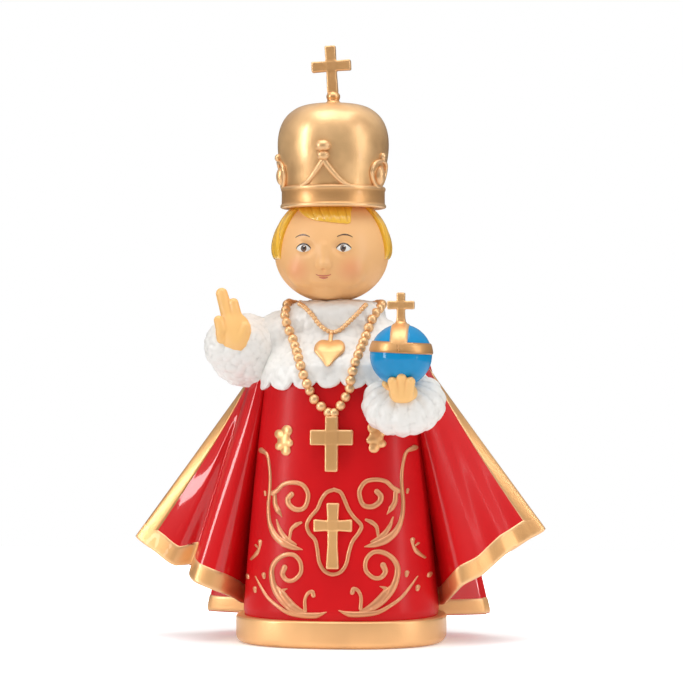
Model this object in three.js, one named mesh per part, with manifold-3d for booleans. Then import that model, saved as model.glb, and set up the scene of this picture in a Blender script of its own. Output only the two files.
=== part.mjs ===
// A small cast-resin devotional figurine: a crowned child in a bell robe and spread mantle,
// blessing with the right hand and holding an orb in the left.
// Millimetres, +Z up, the front looks along -Y, origin at the centre of the underside.
import * as THREE from 'three';
import { mergeVertices } from 'three/addons/utils/BufferGeometryUtils.js';
import Module from 'manifold-3d';

// Heights, each reckoned from the one below it
const baseHeight = 6.8;
const shoulderHeight = 68;
const neckRise = 10;
const collarRise = 7.2;
const headRise = 11.2;
const crownRise = 11.3;
const crownHeight = 26.4;
const collarHeight = shoulderHeight + neckRise;
const collarTop = collarHeight + collarRise;
const headHeight = collarTop + headRise;
const crownFoot = headHeight + crownRise;
const crownTop = crownFoot + crownHeight;

// Robe
const robeHalfWidth = 24.4;
const robeDepthRatio = 0.84;
const robeHalfDepth = robeHalfWidth * robeDepthRatio;
const robeTaper = 0.21;
const planPower = 2.4;
const robeSink = 1;
const collarHalfWidth = 10.9;
const neckShift = -1.2;

// Base
const ledgeSide = 1.8;
const ledgeFront = 1.1;
const baseHalfWidth = robeHalfWidth + ledgeSide;
const baseHalfDepth = robeHalfDepth + ledgeFront;
const baseCorner = 1.6;

// Mantle
const mantleDrop = 1.1;
const mantleHem = baseHeight - mantleDrop;
const mantleTop = collarTop - 0.6;
const mantleCover = 2;
const mantleSide = 0.9;
const mantleFlare = 11.2;
const mantleCornerBack = [3, 11.7];
const mantleFront = [1, 9];
const mantleLevels = [0, 0.27, 0.54, 0.8, 0.9, 1];
const mantleFoldDepth = 1.15;
const mantleFolds = 9;
const wingRecess = 2.6;
const wingLip = 2.2;
const wingSteps = 3;
const wingSegments = 30;

// Blouse
const bibThickness = 1.1;
const bibEdge = shoulderHeight - 2.8;
const bibLobeDrop = 2.1;
const bibLobes = 15;
const sleeveCentre = [-22.6, -4.8, shoulderHeight + 3.9];
const sleeveRadii = [9.4, 7.8, 9.2];
const sleeveLump = 0.75;
const rightShoulder = { centre: [-13.6, -2.6, shoulderHeight + 6.2], radii: [8, 7.4, 8] };
const leftShoulder = { centre: [11.5, -2.5, shoulderHeight + 2], radii: [7.6, 7.4, 7.4] };
const elbow = [12.5, -5, shoulderHeight - 1];

// Orb
const orbCentre = [16.9, -21.8, shoulderHeight + 3.3];
const orbRadius = 7.5;
const orbBandWidth = 3;
const orbBandRaise = 0.45;
const orbBandRise = 1.9;
const orbCross = { height: 7.6, span: 6.6, bar: 2.1, thickness: 2.1 };

// Cuff below the orb
const cuffCentre = [17.1, -16.6, shoulderHeight - 8.4];
const cuffRadius = 10.2;
const cuffHeight = 5.4;
const cuffLobes = 14;
const cuffLobeDepth = 0.75;
const cuffTilt = 0.62;

// Hands
const fingerRadius = 1.55;
const palmRadii = [5, 3.4, 5.4];
const palmCentre = [-25.4, -12.6, shoulderHeight + 9.9];
const palmDrop = orbRadius + 1.3;
const fingerReach = orbRadius - 1.9;

// Head
const headCentre = [-2.3, -1.4, headHeight];
const headRadii = [14.2, 13.2, 12.1];
const skullRise = 15;
const hairThickness = 0.9;
const hairLocks = 11;
const noseLength = 2.6;
const faceTurn = -0.05;

// Crown
const crownAxis = [-2, -0.6];
const crownBandHeight = 5.4;
const crownRadius = 12.6;
const crownBulge = 1.6;
const crownPeaks = 5;
const crownTurn = -0.065;
const crownCross = { height: 11.6, span: 9.9, bar: 2.5, thickness: 2.4 };
const crossLean = 0.06;

// Necklace and pendants
const beadRadius = 1.3;
const beadPitch = 2.9;
const necklaceDrop = shoulderHeight - 10.7;
const necklaceTop = collarTop - 2.8;
const necklaceHalfWidth = collarHalfWidth + 0.95;
const necklaceShift = -2;
const pendant = { centre: necklaceDrop - 7.2, height: 13.4, span: 10.8, bar: 3.3, thickness: 2.6 };
const heart = { centre: [-1.2, collarTop - 12.8], size: 8.6, thickness: 2.6 };
const chainRadius = 0.5;

// Raised lines on the robe and the crown
const ridgeRise = 0.62;
const ridgeSink = 0.4;
const medalCross = { centre: baseHeight + 20.6, height: 15.9, span: 9.4, bar: 2.8, thickness: 2.2 };
const rightGroupLift = 0.6;
const medallionSteps = 9;
const crownSegments = 22;

const TURN = 2 * Math.PI;
const wasm = await Module();
wasm.setup();

const clamp01 = (value) => Math.min(1, Math.max(0, value));
const mix = (a, b, t) => a + (b - a) * t;
const smooth = (t) => clamp01(t) ** 2 * (3 - 2 * clamp01(t));
const vec = (list) => new THREE.Vector3(...list);

// A closed triangle mesh becomes a solid that can be joined and cut.
function solid(geometry) {
  const bare = geometry.clone();
  bare.deleteAttribute('normal');
  bare.deleteAttribute('uv');
  const merged = mergeVertices(bare, 1e-4);
  const corners = [];
  const index = merged.index.array;
  for (let i = 0; i < index.length; i += 3) {
    const [a, b, c] = index.subarray(i, i + 3);
    if (a !== b && b !== c && c !== a) {
      corners.push(a, b, c);
    }
  }
  return new wasm.Manifold(new wasm.Mesh({
    numProp: 3,
    vertProperties: new Float32Array(merged.attributes.position.array),
    triVerts: new Uint32Array(corners),
  }));
}

// A lathe whose every vertex is moved to place(turn, inset, rise). The turn runs from the front
// to the right, the back and the left, as a share of a full turn.
function mould(rows, segments, place) {
  const outline = rows.map(([inset, rise]) => new THREE.Vector2(inset, rise));
  const geometry = new THREE.LatheGeometry(outline, segments);
  const position = geometry.attributes.position;
  for (let i = 0; i <= segments; i += 1) {
    rows.forEach(([inset, rise], j) => {
      const point = place((i % segments) / segments, inset, rise);
      position.setXYZ(i * rows.length + j, point.x, point.y, point.z);
    });
  }
  return solid(geometry);
}

// Rows of a closed lathe: the axis below, the wall from rise 0 to 1 in equal steps, the axis above.
function wallRows(steps) {
  const rows = [[0, 0]];
  for (let i = 0; i <= steps; i += 1) {
    rows.push([1, i / steps]);
  }
  rows.push([0, 1]);
  return rows;
}

// Rows of a ball: the inset and the rise follow a half circle.
function ballRows(steps) {
  const rows = [];
  for (let i = 0; i <= steps; i += 1) {
    const angle = Math.PI * (i / steps - 0.5);
    const onAxis = i === 0 || i === steps;
    rows.push([onAxis ? 0 : Math.cos(angle), Math.sin(angle)]);
  }
  return rows;
}

// A point of an oval plan with squarer corners than an ellipse.
function oval(turn, halfWidth, halfDepth, power) {
  const across = Math.sin(TURN * turn);
  const along = -Math.cos(TURN * turn);
  const share = (value) => Math.sign(value) * Math.abs(value) ** (2 / power);
  return [halfWidth * share(across), halfDepth * share(along)];
}

function ball(centre, radii, segments, steps, swell = () => 1) {
  return mould(ballRows(steps), segments, (turn, inset, rise) => {
    const scale = swell(inset > 0 ? turn : 0, rise);
    return new THREE.Vector3(
      centre[0] + radii[0] * scale * inset * Math.sin(TURN * turn),
      centre[1] - radii[1] * scale * inset * Math.cos(TURN * turn),
      centre[2] + radii[2] * scale * rise,
    );
  });
}

// A round bar with round ends from one point to another.
function finger(from, to, radius, endRadius = radius) {
  const start = vec(from);
  const axis = vec(to).sub(start);
  const length = axis.length();
  const frame = new THREE.Quaternion().setFromUnitVectors(
    new THREE.Vector3(0, 0, 1),
    axis.clone().normalize(),
  );
  return mould(ballRows(5), 6, (turn, inset, rise) => {
    const thickness = rise < 0 ? radius : endRadius;
    const point = new THREE.Vector3(
      thickness * inset * Math.sin(TURN * turn),
      -thickness * inset * Math.cos(TURN * turn),
      thickness * rise + (rise > 0 ? length : 0),
    );
    return point.applyQuaternion(frame).add(start);
  });
}

// The half-width of the robe and chest: a bell that slopes in at the shoulders to an upright collar.
function torsoHalfWidth(z) {
  const share = clamp01((z - baseHeight) / (shoulderHeight - baseHeight));
  const bell = robeHalfWidth * (1 - robeTaper * share ** 1.1);
  const rim = clamp01((z - collarHeight + 4) / (collarTop - collarHeight + 4));
  const collar = collarHalfWidth * Math.sqrt(1 - rim ** 6);
  return mix(bell, collar, smooth((z - shoulderHeight) / (collarHeight - shoulderHeight)));
}

// The collar sits a little to one side, under the head.
function neckShiftAt(z) {
  return neckShift * smooth((z - shoulderHeight) / (collarHeight - shoulderHeight));
}

// Y of the robe's front at a place seen from the front.
function robeFront(x, z) {
  const halfWidth = torsoHalfWidth(z);
  const share = Math.min(0.98, Math.abs(x - neckShiftAt(z)) / halfWidth);
  return -robeDepthRatio * halfWidth * (1 - share ** planPower) ** (1 / planPower);
}

// Y of a ball's front at a place, or far behind where the place misses the ball.
function ballFront({ centre, radii }, x, z) {
  const rest = 1 - ((x - centre[0]) / radii[0]) ** 2 - ((z - centre[2]) / radii[2]) ** 2;
  return rest > 0 ? centre[1] - radii[1] * Math.sqrt(rest) : Infinity;
}

// Y of what lies in front at a place: the robe, the bib down to its edge or a shoulder.
function chestFront(x, z) {
  const cloth = robeFront(x, z) - (z > bibEdge - bibLobeDrop / 2 ? bibThickness : 0);
  return Math.min(cloth, ballFront(rightShoulder, x, z), ballFront(leftShoulder, x, z));
}

function makeBase() {
  const rows = [[0, 0], [1, 0], [1, 0.2], [1, 0.8], [1, 1], [0, 1]];
  return mould(rows, 36, (turn, inset, rise) => {
    const corner = rise === 0 || rise === 1 ? baseCorner * (rise === 0 ? 1 : 0.35) : 0;
    const [x, y] = oval(turn, baseHalfWidth - corner, baseHalfDepth - corner, planPower);
    return new THREE.Vector3(x * inset, y * inset, baseHeight * rise);
  });
}

function makeRobe() {
  return mould(wallRows(3), 36, (turn, inset, rise) => {
    const z = mix(baseHeight - robeSink, shoulderHeight + 2, rise);
    const halfWidth = torsoHalfWidth(z);
    const [x, y] = oval(turn, halfWidth, halfWidth * robeDepthRatio, planPower);
    return new THREE.Vector3(x * inset, y * inset, z);
  });
}

// The back of the mantle falls from the neck in straight folds to a wide low hem.
function makeMantleBack() {
  const rows = [[0, 0], ...mantleLevels.map((level) => [1, level]), [0, 1]];
  return mould(rows, mantleFolds * 4, (turn, inset, rise) => {
    const fall = 1 - rise;
    const z = mix(mantleHem, mantleTop, rise);
    const halfWidth = torsoHalfWidth(z) + mix(mantleSide, mantleFlare, fall);
    const cornerY = mix(...mantleCornerBack, fall);
    const back = torsoHalfWidth(z) * robeDepthRatio + mantleCover - cornerY;
    const front = mix(...mantleFront, fall);
    const fold = mantleFoldDepth * fall * Math.cos(TURN * turn * mantleFolds * 2);
    const across = Math.sin(TURN * turn);
    const along = -Math.cos(TURN * turn);
    const behind = along > 0;
    const width = Math.sign(across) * Math.abs(across) ** (behind ? 0.8 : 1.6);
    const depth = behind ? (back + fold) * along ** 0.8 : -front * Math.abs(along) ** 1.3;
    const x = (halfWidth + (behind ? fold : 0)) * width;
    return new THREE.Vector3(x * inset + neckShiftAt(z), cornerY + depth * inset, z);
  });
}

// One wing of the mantle between a line at the shoulder and its hem. Both lines run from the
// outer tip along the front to the robe and return along the back.
function makeWing(hem, shoulder) {
  const hemLine = new THREE.CatmullRomCurve3(hem.map(vec), true, 'catmullrom', 0.4);
  const topLine = new THREE.CatmullRomCurve3(shoulder.map(vec), true, 'catmullrom', 0.4);
  const middle = (line) => {
    const marks = line.getPoints(24);
    return marks.reduce((sum, mark) => sum.addScaledVector(mark, 1 / marks.length), new THREE.Vector3());
  };
  const low = middle(hemLine);
  const high = middle(topLine);
  const span = low.distanceTo(hemLine.getPoint(0));
  const rows = [[0, 0], [1 - wingLip / span, 0.001], [1 - (wingLip * 0.8) / span, 0], [1, 0]];
  for (let i = 1; i <= wingSteps; i += 1) {
    rows.push([1, i / wingSteps]);
  }
  rows.push([0, 1]);
  return mould(rows, wingSegments, (turn, inset, rise) => {
    const fall = (1 - Math.max(0, rise)) ** 0.94;
    const centre = high.clone().lerp(low, fall);
    const edge = topLine.getPoint(turn).lerp(hemLine.getPoint(turn), fall);
    const point = centre.lerp(edge, inset);
    if (rise === 0.001 || (rise === 0 && inset === 0)) {
      point.z += wingRecess;
    }
    return point;
  });
}

function makeBlouse() {
  // Every second corner of the lower edge hangs lower, which gives the bib its scallops.
  const body = mould(wallRows(3), bibLobes * 2, (turn, inset, rise) => {
    const low = inset > 0 && Math.round(turn * bibLobes * 2) % 2 === 0 ? bibEdge - bibLobeDrop : bibEdge;
    const z = mix(low, collarTop - 0.3, 1 - (1 - rise) ** 1.6);
    const halfWidth = torsoHalfWidth(z);
    const [x, y] = oval(turn, halfWidth + bibThickness, halfWidth * robeDepthRatio + bibThickness, planPower);
    return new THREE.Vector3(x * inset + neckShiftAt(z), y * inset, z);
  });
  const shoulder = ball(leftShoulder.centre, leftShoulder.radii, 10, 5);
  const forearm = finger(elbow, cuffCentre, 5.6, 5);
  return body.add(shoulder).add(forearm);
}

// A puffed sleeve with soft lumps around the raised arm.
function makeSleeve() {
  const lumps = (turn, rise) => {
    const around = Math.cos(TURN * turn * 7 + 3 * rise);
    return 1 + (sleeveLump / sleeveRadii[0]) * around * Math.cos(4.2 * rise + 0.6);
  };
  const puff = ball(sleeveCentre, sleeveRadii, 21, 7, lumps);
  const shoulder = ball(rightShoulder.centre, rightShoulder.radii, 11, 5);
  return puff.add(shoulder);
}

// A ruffle of round lobes, tipped so that it faces up and forward.
function makeCuff() {
  const frame = new THREE.Quaternion().setFromAxisAngle(new THREE.Vector3(1, 0, 0), cuffTilt);
  return mould(ballRows(5), cuffLobes * 2, (turn, inset, rise) => {
    const dent = Math.round(turn * cuffLobes * 2) % 2 === 0 ? 0 : cuffLobeDepth;
    const point = new THREE.Vector3(
      (cuffRadius - dent) * inset * Math.sin(TURN * turn),
      -(cuffRadius - dent) * inset * Math.cos(TURN * turn),
      cuffHeight * rise,
    );
    return point.applyQuaternion(frame).add(vec(cuffCentre));
  });
}

// The right hand is raised with two fingers up, the others folded.
function makeBlessingHand() {
  const [x, y, z] = palmCentre;
  const parts = [
    finger([x + 1.6, y - 0.2, z - 4], [x + 1.4, y + 1.4, z - 8], 3.1, 3.4),
    finger([x - 0.6, y, z + 2], [x - 2.9, y + 0.6, z + 8.3], 1.9, 1.75),
    finger([x + 1.4, y - 0.4, z + 1.5], [x + 0.5, y, z + 5.2], 1.6, 1.45),
    finger([x - 2.6, y - 0.8, z - 0.5], [x - 3.5, y - 0.6, z + 2.2], 1.6, 1.5),
    finger([x + 1.4, y - 1, z - 2.4], [x + 3.1, y - 1.2, z + 0.4], 1.9, 1.6),
  ];
  return parts.reduce((sum, part) => sum.add(part), ball(palmCentre, palmRadii, 12, 6));
}

// The left hand cups the orb from below with its fingers up the front.
function makeOrbHand() {
  const [x, y, z] = orbCentre;
  let hand = ball([x + 0.5, y + 0.6, z - palmDrop], [4.3, 4.4, 3.6], 12, 6);
  [-2.9, -0.1, 2.8].forEach((across, i) => {
    const tipDrop = i === 1 ? 3.4 : 2.4;
    const root = [x + 0.4 + across * 0.8, y - 2.6, z - palmDrop - 0.6];
    const tip = [x + 0.3 + across * 1.15, y - fingerReach, z - palmDrop + tipDrop];
    hand = hand.add(finger(root, tip, fingerRadius));
  });
  return hand;
}

// An upright cross of square bars with slightly spread ends, standing on its foot.
function makeCross({ height, span, bar, thickness }, armRise = 0.6) {
  const half = bar / 2;
  const flare = bar * 0.1;
  const arm = height * armRise;
  const shape = new THREE.Shape();
  shape.moveTo(-half - flare, 0);
  [
    [half + flare, 0], [half, arm - half], [span / 2, arm - half - flare], [span / 2, arm + half + flare],
    [half, arm + half], [half + flare, height], [-half - flare, height], [-half, arm + half],
    [-span / 2, arm + half + flare], [-span / 2, arm - half - flare], [-half, arm - half],
  ].forEach(([px, pz]) => shape.lineTo(px, pz));
  const geometry = new THREE.ExtrudeGeometry(shape, { depth: thickness, bevelEnabled: false });
  geometry.translate(0, 0, -thickness / 2);
  geometry.rotateX(Math.PI / 2);
  return geometry;
}

function makeOrb() {
  const [x, y, z] = orbCentre;
  const globe = ball(orbCentre, [orbRadius, orbRadius, orbRadius], 16, 8);
  const band = mould(wallRows(2), 16, (turn, inset, rise) => {
    const height = orbBandRise + orbBandWidth * (rise - 0.5);
    const radius = Math.sqrt((orbRadius + orbBandRaise) ** 2 - height ** 2);
    return new THREE.Vector3(
      x + radius * inset * Math.sin(TURN * turn),
      y - radius * inset * Math.cos(TURN * turn),
      z + height,
    );
  });
  const archRadius = orbRadius + orbBandRaise;
  const arch = new THREE.CylinderGeometry(archRadius, archRadius, orbBandWidth * 1.4, 16);
  arch.rotateZ(Math.PI / 2);
  arch.translate(x, y, z);
  const upperHalf = new THREE.BoxGeometry(orbRadius, 3 * orbRadius, orbRadius * 1.2);
  upperHalf.translate(x, y, z + orbBandRise + orbRadius * 0.6);
  const foot = new THREE.CylinderGeometry(1.4, 2.2, 1.6, 12);
  foot.rotateX(Math.PI / 2);
  foot.translate(x, y, z + orbRadius + 0.7);
  const cross = makeCross(orbCross, 0.59);
  cross.translate(x, y, z + orbRadius);
  return globe.add(band).add(solid(arch).intersect(solid(upperHalf))).add(solid(foot)).add(solid(cross));
}

// The head is an egg, rounder below, with a small nose, cheeks, chin, brows and ears.
function makeHead() {
  const [x, y, z] = headCentre;
  const skull = mould(ballRows(8), 20, (turn, inset, rise) => {
    const height = rise < 0 ? headRadii[2] : skullRise;
    const side = (turn > 0.5 ? turn - 1 : turn) * TURN - faceTurn;
    const near = (angle, level, width, tall) => {
      return Math.exp(-(((side - angle) / width) ** 2) - ((rise - level) / tall) ** 2);
    };
    const cheeks = 0.35 * (near(0.5, -0.4, 0.3, 0.3) + near(-0.5, -0.4, 0.3, 0.3));
    const sockets = -0.35 * (near(0.34, 0.12, 0.2, 0.14) + near(-0.34, 0.12, 0.2, 0.14));
    const chin = 0.5 * near(0, -0.82, 0.4, 0.16);
    const out = inset > 0 ? cheeks + sockets + chin : 0;
    return new THREE.Vector3(
      x + (headRadii[0] + out) * inset * Math.sin(TURN * turn),
      y - (headRadii[1] + out) * inset * Math.cos(TURN * turn),
      z + height * rise,
    );
  });
  const front = y - headRadii[1];
  const nose = finger([x - 0.6, front + 0.9, z + 0.2], [x - 0.6, front + 0.3, z - noseLength], 0.8, 1.05);
  const upperLip = ball([x - 0.6, front + 1.3, z - 5.1], [2, 0.9, 0.5], 8, 4);
  const lowerLip = ball([x - 0.6, front + 1.6, z - 6], [1.6, 0.9, 0.55], 8, 4);
  return skull.add(nose).add(upperLip).add(lowerLip);
}

// Hair covers the back and sides in locks, and sweeps over the forehead below the crown.
function makeHair() {
  const [x, y, z] = headCentre;
  const shell = mould(ballRows(6), hairLocks * 3, (turn, inset, rise) => {
    const height = rise < 0 ? headRadii[2] - 1 : skullRise;
    const lock = 0.28 * Math.abs(Math.cos(Math.PI * turn * hairLocks)) * inset;
    const out = hairThickness + lock;
    return new THREE.Vector3(
      x + (headRadii[0] + out) * inset * Math.sin(TURN * turn),
      y + 0.4 - (headRadii[1] + out) * inset * Math.cos(TURN * turn),
      z + 0.5 + (height + out * 0.4) * rise,
    );
  });
  // The face opening is an egg-shaped hole that narrows to the temples and leaves a fringe above.
  const opening = new THREE.CylinderGeometry(1, 1, 2 * headRadii[1], 24);
  opening.scale(headRadii[0] - 1.3, 1, headRadii[2] + 0.1);
  opening.translate(x - 0.5, y - headRadii[1] - 2.2, z - 2.4);
  const below = new THREE.BoxGeometry(4 * headRadii[0], 2.2 * headRadii[1], 14);
  below.translate(x, y - headRadii[1] * 0.72, z - 9.3);
  return shell.subtract(solid(opening)).subtract(solid(below));
}

// The crown's radius: a band, then a tall dome that bulges and closes in a broad, nearly flat top.
function crownRadiusAt(z) {
  const share = clamp01((z - crownFoot - crownBandHeight) / (crownTop - crownFoot - crownBandHeight));
  const bulge = crownBulge * Math.sin(Math.PI * clamp01(share * 1.1) ** 1.2);
  return (crownRadius - 0.3 + bulge) * (1 - share ** 9) ** 0.36;
}

function onCrown(angle, z, raise) {
  const radius = crownRadiusAt(z) + raise;
  return new THREE.Vector3(
    crownAxis[0] + radius * Math.sin(angle),
    crownAxis[1] - radius * Math.cos(angle),
    z,
  );
}

function makeCrown() {
  const dome = mould(wallRows(6), crownSegments, (turn, inset, rise) => {
    const z = mix(crownFoot + 1, crownTop - 0.02, 1 - (1 - rise) ** 1.9);
    const point = onCrown(TURN * turn, z, 0);
    point.x = mix(crownAxis[0], point.x, inset);
    point.y = mix(crownAxis[1], point.y, inset);
    return point;
  });
  const bandRows = [[0, 0], [1.03, 0], [1, 0.3], [1, 1], [0, 1]];
  const band = mould(bandRows, crownSegments, (turn, inset, rise) => {
    const radius = (crownRadius + 0.3) * inset;
    return new THREE.Vector3(
      crownAxis[0] + radius * Math.sin(TURN * turn),
      crownAxis[1] - radius * Math.cos(TURN * turn),
      crownFoot + crownBandHeight * rise,
    );
  });
  let crown = dome.add(band);
  for (let i = 0; i < crownPeaks; i += 1) {
    crown = crown.add(makeCrownPeak(crownTurn + (TURN * i) / crownPeaks, i === 0));
  }
  const foot = new THREE.CylinderGeometry(1.5, 3.2, 1.2, 10);
  foot.rotateX(Math.PI / 2);
  foot.translate(...crownAxis, crownTop + 0.2);
  const knob = ball([...crownAxis, crownTop + 1.9], [1.75, 1.75, 1.4], 8, 4);
  const cross = makeCross(crownCross, 0.56);
  cross.rotateY(-crossLean);
  cross.translate(crownAxis[0] - 0.1, crownAxis[1], crownTop + 2.7);
  return crown.add(solid(foot)).add(knob).add(solid(cross));
}

// Places across and up from the band of the crown: the front peak is a hanger with flaring sides,
// the others are loops round a leaf.
const frontPeak = [[-6.4, 0.1], [-4.3, 0.9], [-2, 3.1], [0, 6.2], [2, 3.1], [4.3, 0.9], [6.4, 0.1]];
const sidePeak = [[-0.3, 0.4], [-2.7, 1.8], [-3, 3.7], [0, 6.7], [3, 3.7], [2.7, 1.8], [0.3, 0.4]];

function makeCrownPeak(angle, front) {
  const foot = crownFoot + crownBandHeight;
  const lay = (across, up, raise) => onCrown(angle + across / crownRadius, foot + up, raise);
  if (!front) {
    return ridge(sidePeak, [0.55, 0.55], 6, lay).add(nub(lay(0, 2.9, 0), [2, 2, 2.5]));
  }
  const lower = lay(0, 7.1, 0.2).toArray();
  const upper = lay(0, 9.4, 0.3).toArray();
  return ridge(frontPeak, [0.6, 0.6], 6, lay)
    .add(ball(lower, [1.6, 1.5, 1.3], 6, 4))
    .add(ball(upper, [2, 1.8, 1.45], 6, 4));
}

// A raised line with a three-sided section. Its places are across and up on a surface, which
// lay(across, up, raise) turns into points in space, and its half-width follows the list of widths.
function ridge(places, widths, steps, lay) {
  const line = new THREE.SplineCurve(places.map(([across, up]) => new THREE.Vector2(across, up)));
  return mould(wallRows(steps), 3, (turn, inset, rise) => {
    const spot = line.getPoint(rise);
    const way = line.getTangent(rise);
    const place = rise * (widths.length - 1);
    const i = Math.min(Math.floor(place), widths.length - 2);
    const half = mix(widths[i], widths[i + 1], place - i);
    if (inset === 0) {
      return lay(spot.x, spot.y, 0);
    }
    if (turn === 0) {
      return lay(spot.x, spot.y, ridgeRise * Math.min(1, 0.4 + half));
    }
    const aside = (turn < 0.5 ? 1 : -1) * (half + ridgeSink);
    return lay(spot.x + way.y * aside, spot.y - way.x * aside, -ridgeSink);
  });
}

// A point of the robe's front, given across and up from the top of the base, raised square to the robe.
function onRobe(across, up, raise) {
  const z = up + baseHeight;
  const reach = 0.1;
  const slopeAcross = (robeFront(across + reach, z) - robeFront(across - reach, z)) / (2 * reach);
  const slopeUp = (robeFront(across, z + reach) - robeFront(across, z - reach)) / (2 * reach);
  const out = new THREE.Vector3(slopeAcross, -1, slopeUp).normalize();
  return new THREE.Vector3(across, robeFront(across, z), z).addScaledVector(out, raise);
}

// A small pointed boss with eight faces.
function nub(centre, radii) {
  const geometry = new THREE.OctahedronGeometry(1);
  geometry.scale(...radii);
  geometry.translate(...centre.toArray());
  return solid(geometry);
}

// The scrollwork of the left half, across and up from the top of the base. The right half mirrors it.
const scrolls = [
  {
    places: [
      [-18.6, 40.8], [-16.9, 39.7], [-16.2, 36.9], [-16, 33.8], [-16.2, 30.6], [-16.4, 27.2], [-16, 23.6],
      [-14.6, 20.6], [-12.2, 18.7], [-9.6, 17.7], [-7.5, 17.2],
    ],
    widths: [0.7, 0.36, 0.36, 0.42, 0.5, 0.9, 1.05, 0.15],
    steps: 8,
  },
  {
    places: [
      [-15.1, 30.6], [-12.4, 32.9], [-10.1, 33.4], [-7.6, 32.9], [-6.2, 30.9], [-6.4, 28.6], [-7.4, 27.1],
      [-9.3, 26.9], [-10.9, 28], [-11.2, 29.4], [-10.3, 30.5],
    ],
    widths: [0.6, 0.55, 0.6, 0.65, 0.7],
    steps: 11,
  },
  { places: [[-14.7, 30.5], [-14.5, 28], [-12.7, 25]], widths: [0.5, 0.7, 0.1], steps: 3 },
  { places: [[-10.7, 19.6], [-10.3, 21.9], [-7.8, 23.7]], widths: [0.35, 0.5, 0.4], steps: 2 },
  {
    places: [
      [-11.9, 12.7], [-12.4, 11.1], [-11.3, 9.7], [-9.5, 9.8], [-7.8, 11.6], [-7.9, 14.1], [-9.5, 15.8],
      [-11.8, 15.8], [-14, 14.4], [-15.2, 12.2], [-15, 9.4], [-13.8, 6.7], [-11.8, 4.5], [-9.4, 2.8],
      [-6.6, 1.6],
    ],
    widths: [0.7, 0.58, 0.56, 0.6, 0.64, 1, 1.4, 0.4],
    steps: 15,
  },
  {
    places: [[-19.8, 10], [-16.1, 5.1], [-10.7, 1.8], [-7, 1.4], [-1.4, 2.2]],
    widths: [0.2, 0.5, 0.7, 0.15],
    steps: 5,
  },
  { places: [[-6.6, 2.2], [-6.7, 5], [-5, 7.1], [-4.6, 6]], widths: [0.45, 0.45, 0.6], steps: 3 },
];
const bud = [-18.9, 17.6];
const flowerHeights = [43.6, 44.4];
const flowerAcross = [-12.4, 11];
const flowerRadii = [2.2, 1.4, 3.8];

function makeScrolls() {
  const sides = [-1, 1].map((side) => {
    const lay = (across, up, raise) => onRobe(across, up + (side > 0 ? rightGroupLift : 0), raise);
    const lines = scrolls.map(({ places, widths, steps }) => {
      return ridge(places.map(([across, up]) => [-side * across, up]), widths, steps, lay);
    });
    return [...lines, nub(lay(-side * bud[0], bud[1], 0), [1.1, 1.1, 1.5])];
  });
  const flowers = flowerAcross.map((across, i) => nub(onRobe(across, flowerHeights[i], 0), flowerRadii));
  return [...sides.flat(), ...flowers];
}

// A raised outline with a waist above and below its round sides, and a spread cross inside it.
const medallionEdge = [
  [0.3, 31.8], [-1.5, 31.1], [-2.8, 29.4], [-3.8, 27.1], [-5.4, 25.2], [-6.4, 23.3], [-5.8, 21.3],
  [-4.3, 19.6], [-3.7, 17.2], [-3.2, 14.2], [-1.9, 12.1], [0.1, 11.3], [2.1, 12], [3.4, 14], [4, 16.7],
  [4.8, 19.2], [6.4, 21.5], [6.9, 23.2], [5.1, 25.2], [3.8, 27.1], [2.9, 29.2], [1.9, 31.1], [0.3, 31.8],
];

function makeMedallion() {
  const half = (medallionEdge.length - 1) / 2;
  const rim = [0, half].map((from) => {
    return ridge(medallionEdge.slice(from, from + half + 1), [0.52, 0.52], medallionSteps, onRobe);
  });
  return [...rim, layCross(medalCross, 0.65)];
}

// A flat cross laid on the front of the robe, leaning with its slope.
function layCross(size, armRise, lift = 0) {
  const low = size.centre - size.height / 2;
  const high = size.centre + size.height / 2;
  const slope = Math.atan2(robeFront(0, high) - robeFront(0, low), size.height);
  const cross = makeCross(size, armRise);
  cross.rotateX(-slope);
  cross.translate(0, robeFront(0, low) - lift, low);
  return solid(cross);
}

// Half of the necklace's outline: across from its middle line, and up.
const necklaceBow = [[0, 0], [0.2, 0.02], [0.36, 0.1], [0.52, 0.31], [0.78, 0.62], [0.94, 0.82], [1, 1]];

// Beads lie in a loop over the shoulders and down to the pendant.
function makeNecklace() {
  const halves = [1, -1].map((side) => {
    const points = necklaceBow.map(([across, up]) => {
      const x = side * necklaceHalfWidth * across + necklaceShift * up;
      const z = mix(necklaceDrop, necklaceTop, up);
      return new THREE.Vector3(x, up < 1 ? chestFront(x, z) + 0.2 : chestFront(x, z - 2) + 3, z);
    });
    const napeX = side * (collarHalfWidth - 1.4) + neckShift;
    const nape = new THREE.Vector3(napeX, 3, necklaceTop - 0.8);
    const line = new THREE.CatmullRomCurve3([...points, nape], false, 'centripetal');
    const count = Math.round(line.getLength() / beadPitch);
    return line.getSpacedPoints(count).slice(1);
  });
  return halves.flat().map((mark) => nub(mark, [beadRadius, beadRadius, beadRadius]));
}

// A thin chain: a four-sided bar swept along a smooth curve through the points.
function chainBar(points, radius, steps) {
  const path = new THREE.CatmullRomCurve3(points, false, 'centripetal');
  const section = new THREE.Shape();
  section.moveTo(radius, 0);
  [[0, radius], [-radius, 0], [0, -radius]].forEach(([px, py]) => section.lineTo(px, py));
  return solid(new THREE.ExtrudeGeometry(section, { steps, extrudePath: path, bevelEnabled: false }));
}

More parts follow.
